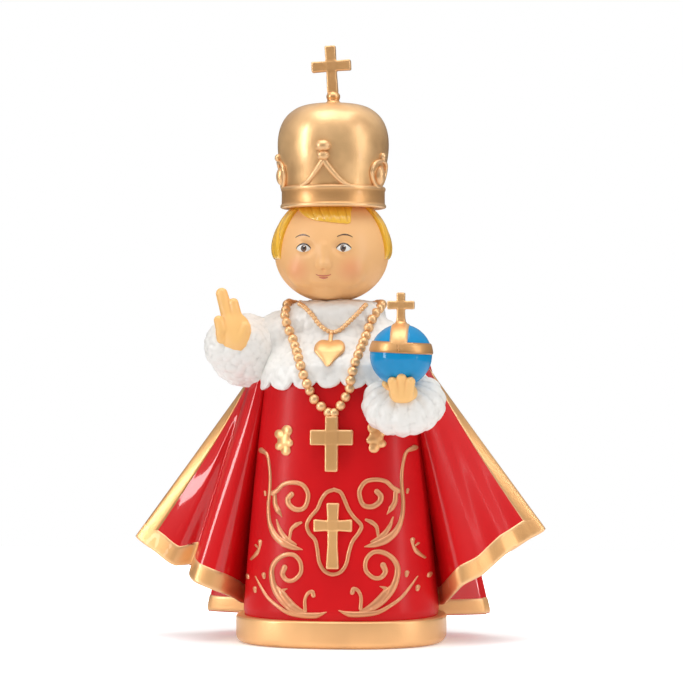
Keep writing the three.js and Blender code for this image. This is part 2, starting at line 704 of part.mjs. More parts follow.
// A rounded heart on a short chain at the chest.
function makeHeart() {
  const [x, z] = heart.centre;
  const half = heart.size / 2;
  const shape = new THREE.Shape();
  shape.moveTo(0, -half);
  shape.bezierCurveTo(half * 0.4, -half * 0.6, half, -half * 0.1, half, half * 0.4);
  shape.bezierCurveTo(half, half * 0.95, half * 0.3, half * 1.05, 0, half * 0.55);
  shape.bezierCurveTo(-half * 0.3, half * 1.05, -half, half * 0.95, -half, half * 0.4);
  shape.bezierCurveTo(-half, -half * 0.1, -half * 0.4, -half * 0.6, 0, -half);
  const geometry = new THREE.ExtrudeGeometry(shape, {
    depth: heart.thickness,
    bevelSize: 0.6,
    bevelThickness: 0.6,
    bevelOffset: -0.6,
    bevelSegments: 1,
    curveSegments: 5,
  });
  geometry.rotateX(Math.PI / 2);
  geometry.rotateX(-0.3);
  geometry.translate(x, chestFront(x, z) + heart.thickness * 0.45, z);
  const chain = [-1, 1].map((side) => {
    const points = [[0, 8.6], [3.2, 6.2], [8, 1.6]].map(([across, drop]) => {
      const px = x + side * across;
      return new THREE.Vector3(px, chestFront(px, collarTop - drop) + 0.1, collarTop - drop);
    });
    return chainBar(points, chainRadius, 4);
  });
  return [solid(geometry), ...chain];
}

// Hem lines of the wings as across, back and up from the top of the base: from the tip along the
// front to the robe and back.
const leftHem = [
  [-52.4, 1.8, 18.5], [-47.4, -0.4, 15.3], [-42.6, -1.6, 12.2], [-37.5, -0.4, 13], [-37.5, -5.6, 9.9],
  [-35.6, -9.2, 8.4], [-31.4, -10.2, 6.8], [-28.2, -8.2, 5.4], [-26.4, -3, 3.7], [-24.6, 2.2, 2],
  [-18, 6, 2.2], [-24, 11, 2.2], [-34, 12.2, 7.4], [-43.5, 9, 13.2], [-50.2, 4.8, 17.8],
].map(fromBase);
const rightHem = [
  [50.6, 1.8, 21.2], [48.6, 5, 20.9], [42.5, 9, 17], [34, 12.2, 9.4], [24, 11, 2.2],
  [18, 6, 2.2], [24.6, 2.2, 2.2], [26.2, -2.2, 3.4], [28.4, -7.4, 5.8], [31, -9.6, 8.4],
  [35.4, -7.4, 10.6], [38.2, -5.4, 13], [41.4, -3.7, 15.8], [44.3, -1.4, 17.5], [47.4, 0, 19.5],
].map(fromBase);

function fromBase([across, back, up]) {
  return [across, back, up + baseHeight];
}

// Lines of the wings at the shoulders as across and back, in the same order.
const wingTop = [
  [21.4, 2.6], [21.8, 0.6], [21.8, -1.4], [21.6, -3], [21.4, -4.6], [20.6, -6.6], [19.2, -8], [17.6, -8],
  [16.8, -6], [15.6, -2], [10, 3], [12, 8], [15.6, 9], [18.6, 7], [20.4, 4.8],
];
const leftWingTop = wingTop.map(([across, back]) => [-across, back, shoulderHeight]);
const rightWingTop = wingTop.map(([across, back]) => [across, back, shoulderHeight]).reverse();
rightWingTop.unshift(rightWingTop.pop());

const body = [
  makeRobe(),
  makeMantleBack(),
  makeWing(leftHem, leftWingTop),
  makeWing(rightHem, rightWingTop),
  makeBlouse(),
  makeSleeve(),
  makeCuff(),
  makeBlessingHand(),
  makeOrbHand(),
  makeOrb(),
  makeHead(),
  makeHair(),
  makeCrown(),
  layCross(pendant, 0.63, 0.4),
  ...makeScrolls(),
  ...makeMedallion(),
  ...makeNecklace(),
  ...makeHeart(),
].reduce((sum, part) => sum.add(part), makeBase());

function toMesh(manifold, name, material) {
  const { numProp, vertProperties, triVerts } = manifold.getMesh();
  const geometry = new THREE.BufferGeometry();
  const count = vertProperties.length / numProp;
  const position = new Float32Array(count * 3);
  for (let i = 0; i < count; i += 1) {
    position.set(vertProperties.subarray(i * numProp, i * numProp + 3), i * 3);
  }
  geometry.setAttribute('position', new THREE.BufferAttribute(position, 3));
  geometry.setIndex(new THREE.BufferAttribute(new Uint32Array(triVerts), 1));
  geometry.computeVertexNormals();
  const mesh = new THREE.Mesh(geometry, material);
  mesh.name = name;
  return mesh;
}

const glossyRed = new THREE.MeshStandardMaterial({ color: 0xc81e28, roughness: 0.22, metalness: 0 });

const group = new THREE.Group();
group.add(toMesh(body, 'figurine', glossyRed));
export default group;
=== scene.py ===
# %% [markdown]
# # A small crowned figurine in painted resin
# The real object is a single resin casting about as tall as a hand. Somebody painted it by hand in red,
# gold, white, skin colour and blue, and then varnished it. So there are no joints here, only forms that
# melt into each other and paint that changes colour at an edge of the relief.
# Each colour is its own mesh below. That way every edge between two colours is a real edge, and it stays
# sharp however close the camera comes.

# %% Load the fixed frame
import math

import bpy
import numpy as np
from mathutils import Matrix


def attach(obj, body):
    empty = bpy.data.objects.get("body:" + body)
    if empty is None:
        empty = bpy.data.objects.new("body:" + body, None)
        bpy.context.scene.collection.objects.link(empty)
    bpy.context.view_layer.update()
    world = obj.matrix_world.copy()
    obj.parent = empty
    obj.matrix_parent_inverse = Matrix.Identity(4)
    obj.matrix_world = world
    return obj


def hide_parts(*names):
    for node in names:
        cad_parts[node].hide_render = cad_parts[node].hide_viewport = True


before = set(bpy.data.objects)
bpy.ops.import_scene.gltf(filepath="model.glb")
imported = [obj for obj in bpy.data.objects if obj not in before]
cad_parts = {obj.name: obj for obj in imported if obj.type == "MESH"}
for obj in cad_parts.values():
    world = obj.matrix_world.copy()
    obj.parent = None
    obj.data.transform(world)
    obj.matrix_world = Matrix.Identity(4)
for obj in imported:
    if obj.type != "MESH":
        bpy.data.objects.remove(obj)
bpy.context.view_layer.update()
MM = 0.001
TURN = 2 * math.pi

# %% [markdown]
# ## Camera
# The photograph looks straight ahead from a little to the figure's left, from about two thirds of a metre,
# with a long lens. A camera that stands level keeps upright lines upright, as the photograph does.

# %% Camera
view_turn = math.radians(6.5)
view_distance = 650 * MM
camera_height = 74.1 * MM
frame_width = 170.75 * MM
camera_data = bpy.data.cameras.new("camera")
camera_data.sensor_fit = "HORIZONTAL"
camera_data.sensor_width = 36
camera_data.lens = camera_data.sensor_width * view_distance / frame_width
camera = bpy.data.objects.new("camera", camera_data)
camera.location = (view_distance * math.sin(view_turn), -view_distance * math.cos(view_turn), camera_height)
camera.rotation_euler = (math.radians(90), 0, view_turn)
bpy.context.collection.objects.link(camera)
bpy.context.scene.camera = camera
print("lens", round(camera_data.lens, 1), "mm")

# %% [markdown]
# ## Light
# Varnish shows what surrounds it, so a glossy figurine is lit by large white panels and not by small lamps.
# At each side stand two: a broad one that only lights the paint, and a narrow one that only the varnish
# mirrors, for the long bright streaks on the mantle. One hangs above and a weak one fills in from the front.

# %% Panels
scene = bpy.context.scene
scene.view_settings.view_transform = "Standard"
lit_middle = np.array([0, 0, 0.075])


def add_panel(name, place, size, power, hidden_from=None):
    """A rectangular area light that faces the middle of the figurine."""
    data = bpy.data.lights.new(name, "AREA")
    data.shape = "RECTANGLE"
    data.size, data.size_y = size
    data.energy = power
    panel = bpy.data.objects.new(name, data)
    panel.location = place
    aim = lit_middle - np.array(place)
    flat = math.hypot(aim[0], aim[1])
    panel.rotation_euler = (math.atan2(flat, -aim[2]), 0, math.atan2(-aim[0], aim[1]))
    if hidden_from == "varnish":
        panel.visible_glossy = False
    elif hidden_from == "paint":
        panel.visible_diffuse = False
    bpy.context.collection.objects.link(panel)


add_panel("left_panel", (-0.62, -0.36, 0.24), (0.2, 0.5), 1.6, hidden_from="varnish")
add_panel("left_streak", (-0.60, -0.40, 0.24), (0.13, 0.6), 2.7, hidden_from="paint")
add_panel("right_panel", (0.64, -0.28, 0.24), (0.2, 0.5), 1.4, hidden_from="varnish")
add_panel("right_streak", (0.64, -0.28, 0.24), (0.06, 0.6), 1.9, hidden_from="paint")
add_panel("top_panel", (0.02, -0.12, 0.60), (0.5, 0.36), 1.7)
add_panel("front_fill", (-0.25, -1.1, 0.55), (1.2, 0.5), 0.5)
print("lights:", len(bpy.data.lights))

# %% [markdown]
# ## Nodes
# Every material, the room and the floor are made of shader nodes. Three small functions keep that short:
# one makes a node, one fills a socket with a number or a link, and one maps one range of values to another.

# %% Node helpers
def feed(tree, socket, value):
    """Give a socket a constant, or link it to another node's output."""
    if isinstance(value, bpy.types.NodeSocket):
        tree.links.new(value, socket)
    else:
        socket.default_value = value


def add_node(tree, kind, operation=None, **inputs):
    """A shader node; From_Min in the call stands for the socket From Min."""
    node = tree.nodes.new("ShaderNode" + kind)
    if operation:
        node.operation = operation
    for title, value in inputs.items():
        feed(tree, node.inputs[title.replace("_", " ")], value)
    return node


def ramp(tree, value, start, end, low=0.0, high=1.0, curve="LINEAR"):
    """A value that goes from low to high while another one goes from start to end."""
    node = add_node(tree, "MapRange", Value=value, From_Min=start, From_Max=end, To_Min=low, To_Max=high)
    node.interpolation_type = curve
    return node.outputs["Result"]


# %% [markdown]
# ## Room and floor
# The room is bright above and dim all round, and the camera sees it as plain white paper. The floor shines
# a little for the camera, more with distance, so that only the shadow near the figurine shows. The varnish
# doesn't see that shine, because it would veil the reflections. To every other ray the floor glows faintly,
# and that glow lights the figurine a little from below.

# %% Room
world = bpy.data.worlds.new("pale_room")
world.use_nodes = True
tree = world.node_tree
way = add_node(tree, "TexCoord").outputs["Generated"]
rise = add_node(tree, "SeparateXYZ", Vector=way).outputs["Z"]
room = tree.nodes["Background"]
room.inputs["Color"].default_value = (1, 0.99, 0.98, 1)
feed(tree, room.inputs["Strength"], ramp(tree, rise, 0.1, 0.9, 0.1, 0.8))
paper = add_node(tree, "Background", Color=(1, 1, 1, 1), Strength=1.0)
seen = add_node(tree, "MixShader", Fac=add_node(tree, "LightPath").outputs["Is Camera Ray"])
tree.links.new(room.outputs["Background"], seen.inputs[1])
tree.links.new(paper.outputs["Background"], seen.inputs[2])
tree.links.new(seen.outputs["Shader"], tree.nodes["World Output"].inputs["Surface"])
scene.world = world

# %% Floor
reach = 0.28
corners = [(-reach, -reach, 0), (reach, -reach, 0), (reach, reach, 0), (-reach, reach, 0)]
floor_mesh = bpy.data.meshes.new("floor")
floor_mesh.from_pydata(corners, [], [(0, 1, 2, 3)])
floor = bpy.data.objects.new("floor", floor_mesh)
bpy.context.collection.objects.link(floor)
floor_paint = bpy.data.materials.new("pale_floor")
floor_paint.use_nodes = True
tree = floor_paint.node_tree
place = add_node(tree, "TexCoord").outputs["Object"]
away = add_node(tree, "VectorMath", "LENGTH", Vector=place).outputs["Value"]
shine = ramp(tree, away, 0.02, 0.13, 0.2, 1.1, "SMOOTHSTEP")
from_camera = add_node(tree, "LightPath").outputs["Is Camera Ray"]
floor_shader = tree.nodes["Principled BSDF"]
floor_shader.inputs["Base Color"].default_value = (0.95, 0.95, 0.95, 1)
floor_shader.inputs["Roughness"].default_value = 0.7
floor_shader.inputs["Emission Color"].default_value = (1, 1, 1, 1)
# The floor glows: brightly for the camera, faintly for every other ray, which lights the figurine from
# below.
feed(tree, floor_shader.inputs["Emission Strength"], ramp(tree, from_camera, 0, 1, 0.12, shine))
floor_mesh.materials.append(floor_paint)
print("room and floor ready")

# %% [markdown]
# ## Numbers become meshes
# A form that goes round an axis is easiest as a grid: rows up the form, columns round it. Blender only wants
# a list of points and a list of faces, so one function turns a grid into both and closes its two ends.
# Most grids below come from a function for one ring, which is asked for each row in turn.
# All sizes are in millimetres until the last moment, when a piece is made in metres.

# %% Grids and pieces
def mix(a, b, share):
    return a + (b - a) * share


def smooth(share):
    share = np.clip(share, 0, 1)
    return share * share * (3 - 2 * share)


def around(centre, radius, angle, z):
    """Points round an upright axis; angle 0 faces the front."""
    x, y = centre[0] + radius * np.sin(angle), centre[1] - radius * np.cos(angle)
    return np.stack([x, y, z + 0 * angle], -1)


def skin(grid):
    """Points and faces of a grid that closes round, with a middle point at each end."""
    rows, columns = grid.shape[:2]
    column = np.arange(columns)
    after = (column + 1) % columns
    row = np.arange(rows - 1)[:, None] * columns
    quads = [row + column, row + after, row + columns + after, row + columns + column]
    low, high, last = rows * columns, rows * columns + 1, (rows - 1) * columns
    faces = [
        np.stack(quads, -1).reshape(-1, 4),
        np.stack([after, column, np.full(columns, low)], -1),
        np.stack([last + column, last + after, np.full(columns, high)], -1),
    ]
    return np.vstack([grid.reshape(-1, 3), grid[0].mean(0), grid[-1].mean(0)]), faces


def rings_form(ring, rows, columns):
    """A form from a function that gives one ring of points, for all angles and one of the rows."""
    angle = np.arange(columns) / columns * TURN
    return skin(np.stack([ring(angle, row) for row in rows]))


def join(*forms):
    """Several forms as one list of points and one list of faces."""
    points, faces, first = [], [], 0
    for form_points, form_faces in forms:
        points.append(form_points)
        faces.extend(part + first for part in form_faces)
        first += len(form_points)
    return np.vstack(points), faces


def outward(points, faces):
    """Turn the faces round if the form would enclose a negative volume."""
    volume = 0.0
    for part in faces:
        for k in range(1, part.shape[1] - 1):
            a, b, c = points[part[:, 0]], points[part[:, k]], points[part[:, k + 1]]
            volume += np.einsum("ij,ij->i", a, np.cross(b, c)).sum()
    return faces if volume > 0 else [part[:, ::-1] for part in faces]


def make_piece(name, form, paint):
    """A painted piece that stands for the casting and rides on the one body."""
    points, faces = form
    faces = outward(points, faces)
    mesh = bpy.data.meshes.new(name)
    mesh.from_pydata((points * MM).tolist(), [], [face for part in faces for face in part.tolist()])
    mesh.validate()
    mesh.shade_smooth()
    mesh.materials.append(paint)
    piece = bpy.data.objects.new(name, mesh)
    bpy.context.collection.objects.link(piece)
    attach(piece, "root")
    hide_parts("figurine")
    print(name, sum(len(face.vertices) - 2 for face in mesh.polygons), "triangles")


# %% [markdown]
# ## Soft lumps
# A hand, a puffed sleeve or a knob has no axis. Such a form is described by a field: a function that is
# negative inside and positive outside. Two fields can be blended, which gives the soft fillets that a mould
# leaves. The surface is then found where the field crosses zero, with one point in each small cell.

# %% Fields
def ellipsoid(p, centre, radii):
    near = [(p[i] - centre[i]) / radii[i] for i in range(3)]
    size = np.sqrt(sum(q**2 for q in near))
    slope = np.sqrt(sum((near[i] / radii[i]) ** 2 for i in range(3)))
    return size * (size - 1) / np.maximum(slope, 1e-6)


def limb(p, start, end, radius, end_radius=None, flatten=1.0):
    """A bar with round ends that may narrow; flatten below 1 makes it thinner front to back."""
    end_radius = radius if end_radius is None else end_radius
    start, end = np.asarray(start, float), np.asarray(end, float)
    axis = end - start
    gap = [p[i] - start[i] for i in range(3)]
    along = np.clip(sum(gap[i] * axis[i] for i in range(3)) / (axis @ axis), 0, 1)
    rest = [gap[i] - along * axis[i] for i in range(3)]
    rest[1] = rest[1] / flatten
    return np.sqrt(sum(q**2 for q in rest)) - mix(radius, end_radius, along)


def block(p, half, rounding):
    """A block round the origin, from half its size each way."""
    gap = [np.abs(p[i]) - (half[i] - rounding) for i in range(3)]
    outside = np.sqrt(sum(np.maximum(q, 0) ** 2 for q in gap))
    return outside + np.minimum(np.maximum(np.maximum(gap[0], gap[1]), gap[2]), 0) - rounding


def blend(a, b, soft):
    share = np.clip(0.5 + 0.5 * (b - a) / soft, 0, 1)
    return mix(b, a, share) - soft * share * (1 - share)


def carve(a, b, soft):
    return -blend(-a, b, soft)


def walk_in(field, x, z, start, back, ahead=math.inf, limit=math.inf):
    """Y of a field's surface in front of places, in 60 careful steps that go back or ahead only so far."""
    y = np.full(np.shape(x), start)
    for _ in range(60):
        y = np.minimum(y + np.clip(field([x, y, z]), -back, ahead) * 0.6, limit)
    return y


# %% From a field to a surface
def cast(field, low, high, step):
    """Points and faces where the field crosses zero inside a box."""
    low = np.asarray(low, float)
    lines = [np.arange(low[i], high[i] + step, step) for i in range(3)]
    value = field(np.meshgrid(*lines, indexing="ij"))
    cells = tuple(n - 1 for n in value.shape)
    total, count = np.zeros(cells + (3,)), np.zeros(cells)
    for axis in range(3):
        for corner in np.ndindex(2, 2):
            offset = list(corner)
            offset.insert(axis, 0)
            here = tuple(slice(o, o + n) for o, n in zip(offset, cells))
            offset[axis] = 1
            there = tuple(slice(o, o + n) for o, n in zip(offset, cells))
            a, b = value[here], value[there]
            crossed = (a < 0) != (b < 0)
            share = np.where(crossed, a / np.where(crossed, a - b, 1), 0)
            for k in range(3):
                total[..., k] += crossed * (share if k == axis else offset[k])
            count += crossed
    live = count > 0
    number = np.full(cells, -1)
    number[live] = np.arange(live.sum())
    points = (np.argwhere(live) + total[live] / count[live][:, None]) * step + low
    quads = []
    for axis in range(3):
        b, c = (axis + 1) % 3, (axis + 2) % 3
        first, second = [slice(None)] * 3, [slice(None)] * 3
        first[axis], second[axis] = slice(0, -1), slice(1, None)
        inside = value[tuple(first)] < 0
        spots = np.argwhere(inside != (value[tuple(second)] < 0))
        fits = (spots[:, b] > 0) & (spots[:, c] > 0) & (spots[:, b] < cells[b]) & (spots[:, c] < cells[c])
        spots = spots[fits]
        ring = []
        for db, dc in ((0, 0), (1, 0), (1, 1), (0, 1)):
            cell = spots.copy()
            cell[:, b] -= db
            cell[:, c] -= dc
            ring.append(number[tuple(cell.T)])
        ring = np.stack(ring, 1)
        turned = ~inside[tuple(spots.T)]
        ring[turned] = ring[turned][:, ::-1]
        quads.append(ring)
    return points, [np.vstack(quads)]


# %% Fluff
def normals(points, faces):
    total = np.zeros_like(points)
    for part in faces:
        face = points[part]
        across = np.cross(face[:, 2] - face[:, 0], face[:, -1] - face[:, 1])
        for k in range(part.shape[1]):
            for i in range(3):
                total[:, i] += np.bincount(part[:, k], across[:, i], len(points))
    return total / np.maximum(np.linalg.norm(total, axis=1), 1e-9)[:, None]


def scatter(cell, salt):
    """Three numbers from 0 to 1 for each whole-number cell, the same on every run."""
    mark = cell @ np.array([127.1, 311.7, 74.7]) + salt * 13.7
    return np.stack([np.sin(mark * k) * 43758.5453 % 1 for k in (1.0, 1.37, 1.91)], 1)


def puffs(points, size, salt):
    """Soft round lumps: 1 at the middle of a lump, 0 in the creases between lumps."""
    cell = np.floor(points / size)
    nearest = np.full(len(points), 9.0)
    for offset in np.ndindex(3, 3, 3):
        other = cell + np.array(offset) - 1
        gap = np.linalg.norm(points / size - other - scatter(other, salt), axis=1)
        nearest = np.minimum(nearest, gap)
    return 1 - np.clip(nearest, 0, 1) ** 2


def fluff(form, *layers):
    """Push a form's surface in and out by layers of soft lumps: size, height and salt of each."""
    points, faces = form
    for size, height, salt in layers:
        lift = height * (puffs(points, size, salt) - 0.6)
        points = points + normals(points, faces) * lift[:, None]
    return points, faces


print("field tools ready")

# %% [markdown]
# ## Paint
# Hand paint is never one flat colour: it is thin here and thick there, and the brush leaves a faint grain
# under the varnish. The creases of the casting are also given painted shade: their colour is darkened where
# shade falls. Two node groups give these effects to every paint. One measures soft patches and fine grain,
# the other finds creases, for the painted shade, and raised edges.

# %% Node groups shared by all paints
def new_group(name, inputs, outputs):
    group = bpy.data.node_groups.new(name, "ShaderNodeTree")
    for title, value in inputs:
        socket = group.interface.new_socket(title, in_out="INPUT", socket_type="NodeSocketFloat")
        socket.default_value = value
    for title in outputs:
        group.interface.new_socket(title, in_out="OUTPUT", socket_type="NodeSocketFloat")
    return group, group.nodes.new("NodeGroupInput"), group.nodes.new("NodeGroupOutput")


def make_brush_group():
    scales = [("Patch Scale", 90.0), ("Grain Scale", 1500.0)]
    group, given, result = new_group("brush_work", scales, ["Patches", "Grain"])
    place = add_node(group, "TexCoord").outputs["Object"]
    for title, scale, detail in (("Patches", "Patch Scale", 2.0), ("Grain", "Grain Scale", 4.0)):
        noise = add_node(group, "TexNoise", Vector=place, Scale=given.outputs[scale], Detail=detail)
        feed(group, result.inputs[title], ramp(group, noise.outputs["Fac"], 0.3, 0.7))
    return group


def make_relief_group():
    """Pointiness is 0.5 on even ground, less in a hollow and more on an edge; Crease marks the painted
    shade.
    """
    group, given, result = new_group("crease_shade_and_worn_edge", [("Reach", 0.05)], ["Crease", "Edge"])
    bend = add_node(group, "NewGeometry").outputs["Pointiness"]
    for title, operation in (("Crease", "SUBTRACT"), ("Edge", "ADD")):
        limit = add_node(group, "Math", operation)
        limit.inputs[0].default_value = 0.5
        feed(group, limit.inputs[1], given.outputs["Reach"])
        feed(group, result.inputs[title], ramp(group, bend, 0.5, limit.outputs[0]))
    return group


brush_work = make_brush_group()
crease_shade_and_worn_edge = make_relief_group()
print("groups:", [group.name for group in bpy.data.node_groups])


# %% A painted and varnished material
def add_group(tree, group):
    node = tree.nodes.new("ShaderNodeGroup")
    node.node_tree = group
    return node


def mix_colour(tree, share, a, b):
    """A colour between two others; each may be a colour or a node's output."""
    node = tree.nodes.new("ShaderNodeMix")
    node.data_type = "RGBA"
    for socket, value in ((node.inputs[6], a), (node.inputs[7], b)):
        feed(tree, socket, (*value, 1) if isinstance(value, tuple) else value)
    feed(tree, node.inputs[0], share)
    return node.outputs[2]


def scaled(tree, value, amount):
    node = add_node(tree, "Math", "MULTIPLY")
    feed(tree, node.inputs[0], value)
    feed(tree, node.inputs[1], amount)
    return node.outputs[0]


def make_paint(
    name, colour, deep, light, roughness, coat=1, coat_roughness=0.06, specular=0.3, metallic=0,
    uneven=0.25, patch=90, grain=1500, crease_shade=0.7, edge=0.3, bump=0.25,
):
    """Paint of one colour: painted shade darkens it in the creases, light on worn edges, with patches and a
    fine grain.
    """
    material = bpy.data.materials.new(name)
    material.use_nodes = True
    tree = material.node_tree
    brush = add_group(tree, brush_work)
    feed(tree, brush.inputs["Patch Scale"], patch)
    feed(tree, brush.inputs["Grain Scale"], grain)
    relief = add_group(tree, crease_shade_and_worn_edge)
    # Random thick patches and painted shade in the creases move the colour towards deep; worn edges towards
    # light.
    tone = mix_colour(tree, scaled(tree, brush.outputs["Patches"], uneven), colour, deep)
    tone = mix_colour(tree, scaled(tree, relief.outputs["Crease"], crease_shade), tone, deep)
    tone = mix_colour(tree, scaled(tree, relief.outputs["Edge"], edge), tone, light)
    rough = ramp(tree, brush.outputs["Grain"], 0, 1, roughness - 0.05, roughness + 0.07)
    bumps = add_node(tree, "Bump", Strength=bump, Distance=0.03 * MM, Height=brush.outputs["Grain"])
    settings = {
        "Base Color": tone, "Roughness": rough, "Normal": bumps.outputs["Normal"], "Metallic": metallic,
        "Coat Weight": coat, "Coat Roughness": coat_roughness, "Specular IOR Level": specular,
    }
    for title, value in settings.items():
        feed(tree, tree.nodes["Principled BSDF"].inputs[title], value)
    return material


# %% The paints of the pot
red_paint = make_paint(
    "red_paint", (0.68, 0.007, 0.01), (0.4, 0.003, 0.006), (0.8, 0.04, 0.04),
    roughness=0.4, specular=0.1, uneven=0.16, crease_shade=0.5, edge=0.12,
)
robe_paint = make_paint(
    "robe_paint", (0.64, 0.007, 0.01), (0.4, 0.003, 0.006), (0.8, 0.04, 0.04),
    roughness=0.42, coat=0.14, coat_roughness=0.25, specular=0.1, uneven=0.3, crease_shade=0.5, edge=0.12,
)
metal = {"grain": 2600, "bump": 0.5, "edge": 0.5}
gold_paint = make_paint(
    "gold_paint", (0.88, 0.48, 0.19), (0.36, 0.15, 0.045), (0.94, 0.66, 0.38),
    roughness=0.38, metallic=0.6, coat=0.35, coat_roughness=0.14, **metal,
)
# The crown cap's gold is the gold paint made lighter: painted light for the cap's broad bright sheen.
lit_crown_gold = make_paint(
    "lit_crown_gold", (0.98, 0.6, 0.27), (0.46, 0.21, 0.07), (0.99, 0.8, 0.56),
    roughness=0.34, metallic=0.5, coat=0.5, coat_roughness=0.14, uneven=0.5, patch=150, **metal,
)
bronze_paint = make_paint(
    "bronze_paint", (0.66, 0.27, 0.11), (0.36, 0.05, 0.03), (0.85, 0.5, 0.28),
    roughness=0.36, metallic=0.5, coat=0.5, coat_roughness=0.12, **metal,
)
white_paint = make_paint(
    "white_paint", (0.86, 0.84, 0.8), (0.62, 0.6, 0.57), (0.93, 0.92, 0.9),
    roughness=0.5, coat=0.4, coat_roughness=0.25, uneven=0.08, crease_shade=0.75, edge=0.4,
)
blue_paint = make_paint(
    "blue_paint", (0.004, 0.29, 0.62), (0.002, 0.11, 0.28), (0.05, 0.45, 0.75),
    roughness=0.45, coat=0.55, coat_roughness=0.05, specular=0.05, uneven=0.2, patch=140,
)
hair_paint = make_paint(
    "hair_paint", (1.0, 0.56, 0.04), (0.55, 0.2, 0.012), (0.98, 0.66, 0.16),
    roughness=0.34, coat=0.8, coat_roughness=0.1, crease_shade=0.9, edge=0.4,
)
skin_paint = make_paint(
    "skin_paint", (0.98, 0.57, 0.2), (0.76, 0.32, 0.09), (0.98, 0.7, 0.38),
    roughness=0.45, coat=0.35, coat_roughness=0.25, uneven=0.12, crease_shade=0.6, edge=0.1,
)
face_paint = make_paint(
    "face_paint", (0.93, 0.52, 0.22), (0.76, 0.31, 0.11), (0.96, 0.66, 0.38),
    roughness=0.48, coat=0.15, coat_roughness=0.3, uneven=0.1, crease_shade=0.45, edge=0.08,
)
dark_paint = make_paint(
    "dark_paint", (0.03, 0.014, 0.01), (0.012, 0.006, 0.004), (0.06, 0.03, 0.02),
    roughness=0.25, coat_roughness=0.03, uneven=0.2,
)
iris_paint = make_paint(
    "iris_paint", (0.12, 0.05, 0.02), (0.05, 0.02, 0.01), (0.25, 0.12, 0.05),
    roughness=0.25, coat_roughness=0.03, uneven=0.4, patch=900,
)
lip_paint = make_paint(
    "lip_paint", (0.62, 0.13, 0.07), (0.42, 0.07, 0.04), (0.8, 0.3, 0.2),
    roughness=0.3, uneven=0.2, patch=500,
)
print("paints:", [material.name for material in bpy.data.materials])

# %% [markdown]
# ## Base and robe
# The base is a low oval block with softened corners. Its plan is squarer than an ellipse, and one number,
# the power of the oval, sets how square. The robe has the same plan. It is a bell that narrows evenly to
# the shoulders, so each of its rows is the same oval at another size.

# %% Base and robe
plan_power = 2.4
base_height, base_half_width, base_half_depth = 6.8, 26.2, 21.6
shoulder_height, collar_height, collar_top = 68, 78, 85.2
robe_half_width, robe_taper, collar_half_width, collar_dip = 24.4, 0.21, 10.9, 4
torso_depth = 0.84


def oval_ring(angle, row):
    half_width, half_depth, z = row
    across, along = np.sin(angle), -np.cos(angle)
    x = half_width * np.sign(across) * np.abs(across) ** (2 / plan_power)
    y = half_depth * np.sign(along) * np.abs(along) ** (2 / plan_power)
    return np.stack([x, y, z + 0 * angle], -1)


def collar_share(z):
    """From 0 at the shoulders to 1 at the foot of the collar."""
    return smooth((z - shoulder_height) / (collar_height - shoulder_height))


def torso_half_width(z):
    share = np.clip((z - base_height) / (shoulder_height - base_height), 0, 1)
    bell = robe_half_width * (1 - robe_taper * share**1.1)
    rim = np.clip((z - collar_height + collar_dip) / (collar_top - collar_height + collar_dip), 0, 1)
    collar = collar_half_width * np.sqrt(np.maximum(1 - rim**12, 0))
    return mix(bell, collar, collar_share(z))


def neck_shift(z):
    """The collar sits a little to one side, under the head."""
    return -1.2 * collar_share(z)


def robe_front(x, z):
    """Y of the robe's front where the figure is seen from the front."""
    half_width = torso_half_width(z)
    share = np.minimum(0.985, np.abs(x - neck_shift(z)) / half_width)
    return -torso_depth * half_width * (1 - share**plan_power) ** (1 / plan_power)


def base_rows(low_corner=1.9, high_corner=0.7):
    """Half width, half depth and height of each row, round a wide lower and a narrow upper corner."""
    rows = []
    corners = ((low_corner, low_corner, (-90, 0)), (high_corner, base_height - high_corner, (0, 90)))
    for corner, z, angles in corners:
        for angle in np.radians(np.linspace(*angles, 9)):
            inset = corner * (1 - math.cos(angle))
            rows.append((base_half_width - inset, base_half_depth - inset, z + corner * math.sin(angle)))
    return rows


def robe_rows(sunk=0.6, tuck=0.35, tuck_height=0.9):
    """Rows up the robe, which tucks in a little where it meets the base."""
    rows = []
    for z in np.linspace(base_height - sunk, shoulder_height + 2, 70):
        hem = tuck * math.exp(-(((z - base_height) / tuck_height) ** 2))
        half_width = float(torso_half_width(z)) - hem
        rows.append((half_width, half_width * torso_depth, z))
    return rows


make_piece("base", rings_form(oval_ring, base_rows(), 240), gold_paint)
make_piece("robe", rings_form(oval_ring, robe_rows(), 240), robe_paint)

# %% [markdown]
# ## Mantle
# The mantle hangs from the shoulders in three parts: a wide back, and a wing to each side that the arms
# hold open. A wing is ruled, as hanging cloth is: straight lines run from a small loop at the shoulder
# down to a wide wavy loop at the hem, and so its folds open out as they fall. Each loop starts at the outer
# edge and has the same number of points, so point follows point along a fold.

# %% Smooth curves
def cubic(before, here, after, beyond, t, tension):
    """Points between here and after, on a smooth curve through four points."""
    leave, arrive = tension * (after - before), tension * (beyond - here)
    return (
        (2 * t**3 - 3 * t**2 + 1) * here + (t**3 - 2 * t**2 + t) * leave
        + (3 * t**2 - 2 * t**3) * after + (t**3 - t**2) * arrive
    )


def closed_curve(points, turn):
    """A smooth closed curve through the points, at turns from 0 to 1."""
    points = np.asarray(points, float)
    place = (turn % 1) * len(points)
    start = np.floor(place).astype(int)
    four = [points[(start + k) % len(points)] for k in (-1, 0, 1, 2)]
    return cubic(*four, (place - start)[..., None], 0.4)


def open_curve(points, samples):
    """A smooth curve through points, in even steps of their numbering."""
    points = np.asarray(points, float)
    padded = np.vstack([2 * points[0] - points[1], points, 2 * points[-1] - points[-2]])
    place = np.linspace(0, len(points) - 1 - 1e-9, samples)
    start = place.astype(int)
    return cubic(*[padded[start + k] for k in range(4)], (place - start)[:, None], 0.5)


def even_line(points, places):
    """Points of a line at given lengths along it."""
    step = np.linalg.norm(np.diff(points, axis=0), axis=1)
    length = np.concatenate([[0], np.cumsum(step)])
    return np.stack([np.interp(places, length, points[:, i]) for i in range(3)], -1)


print("curve tools ready")

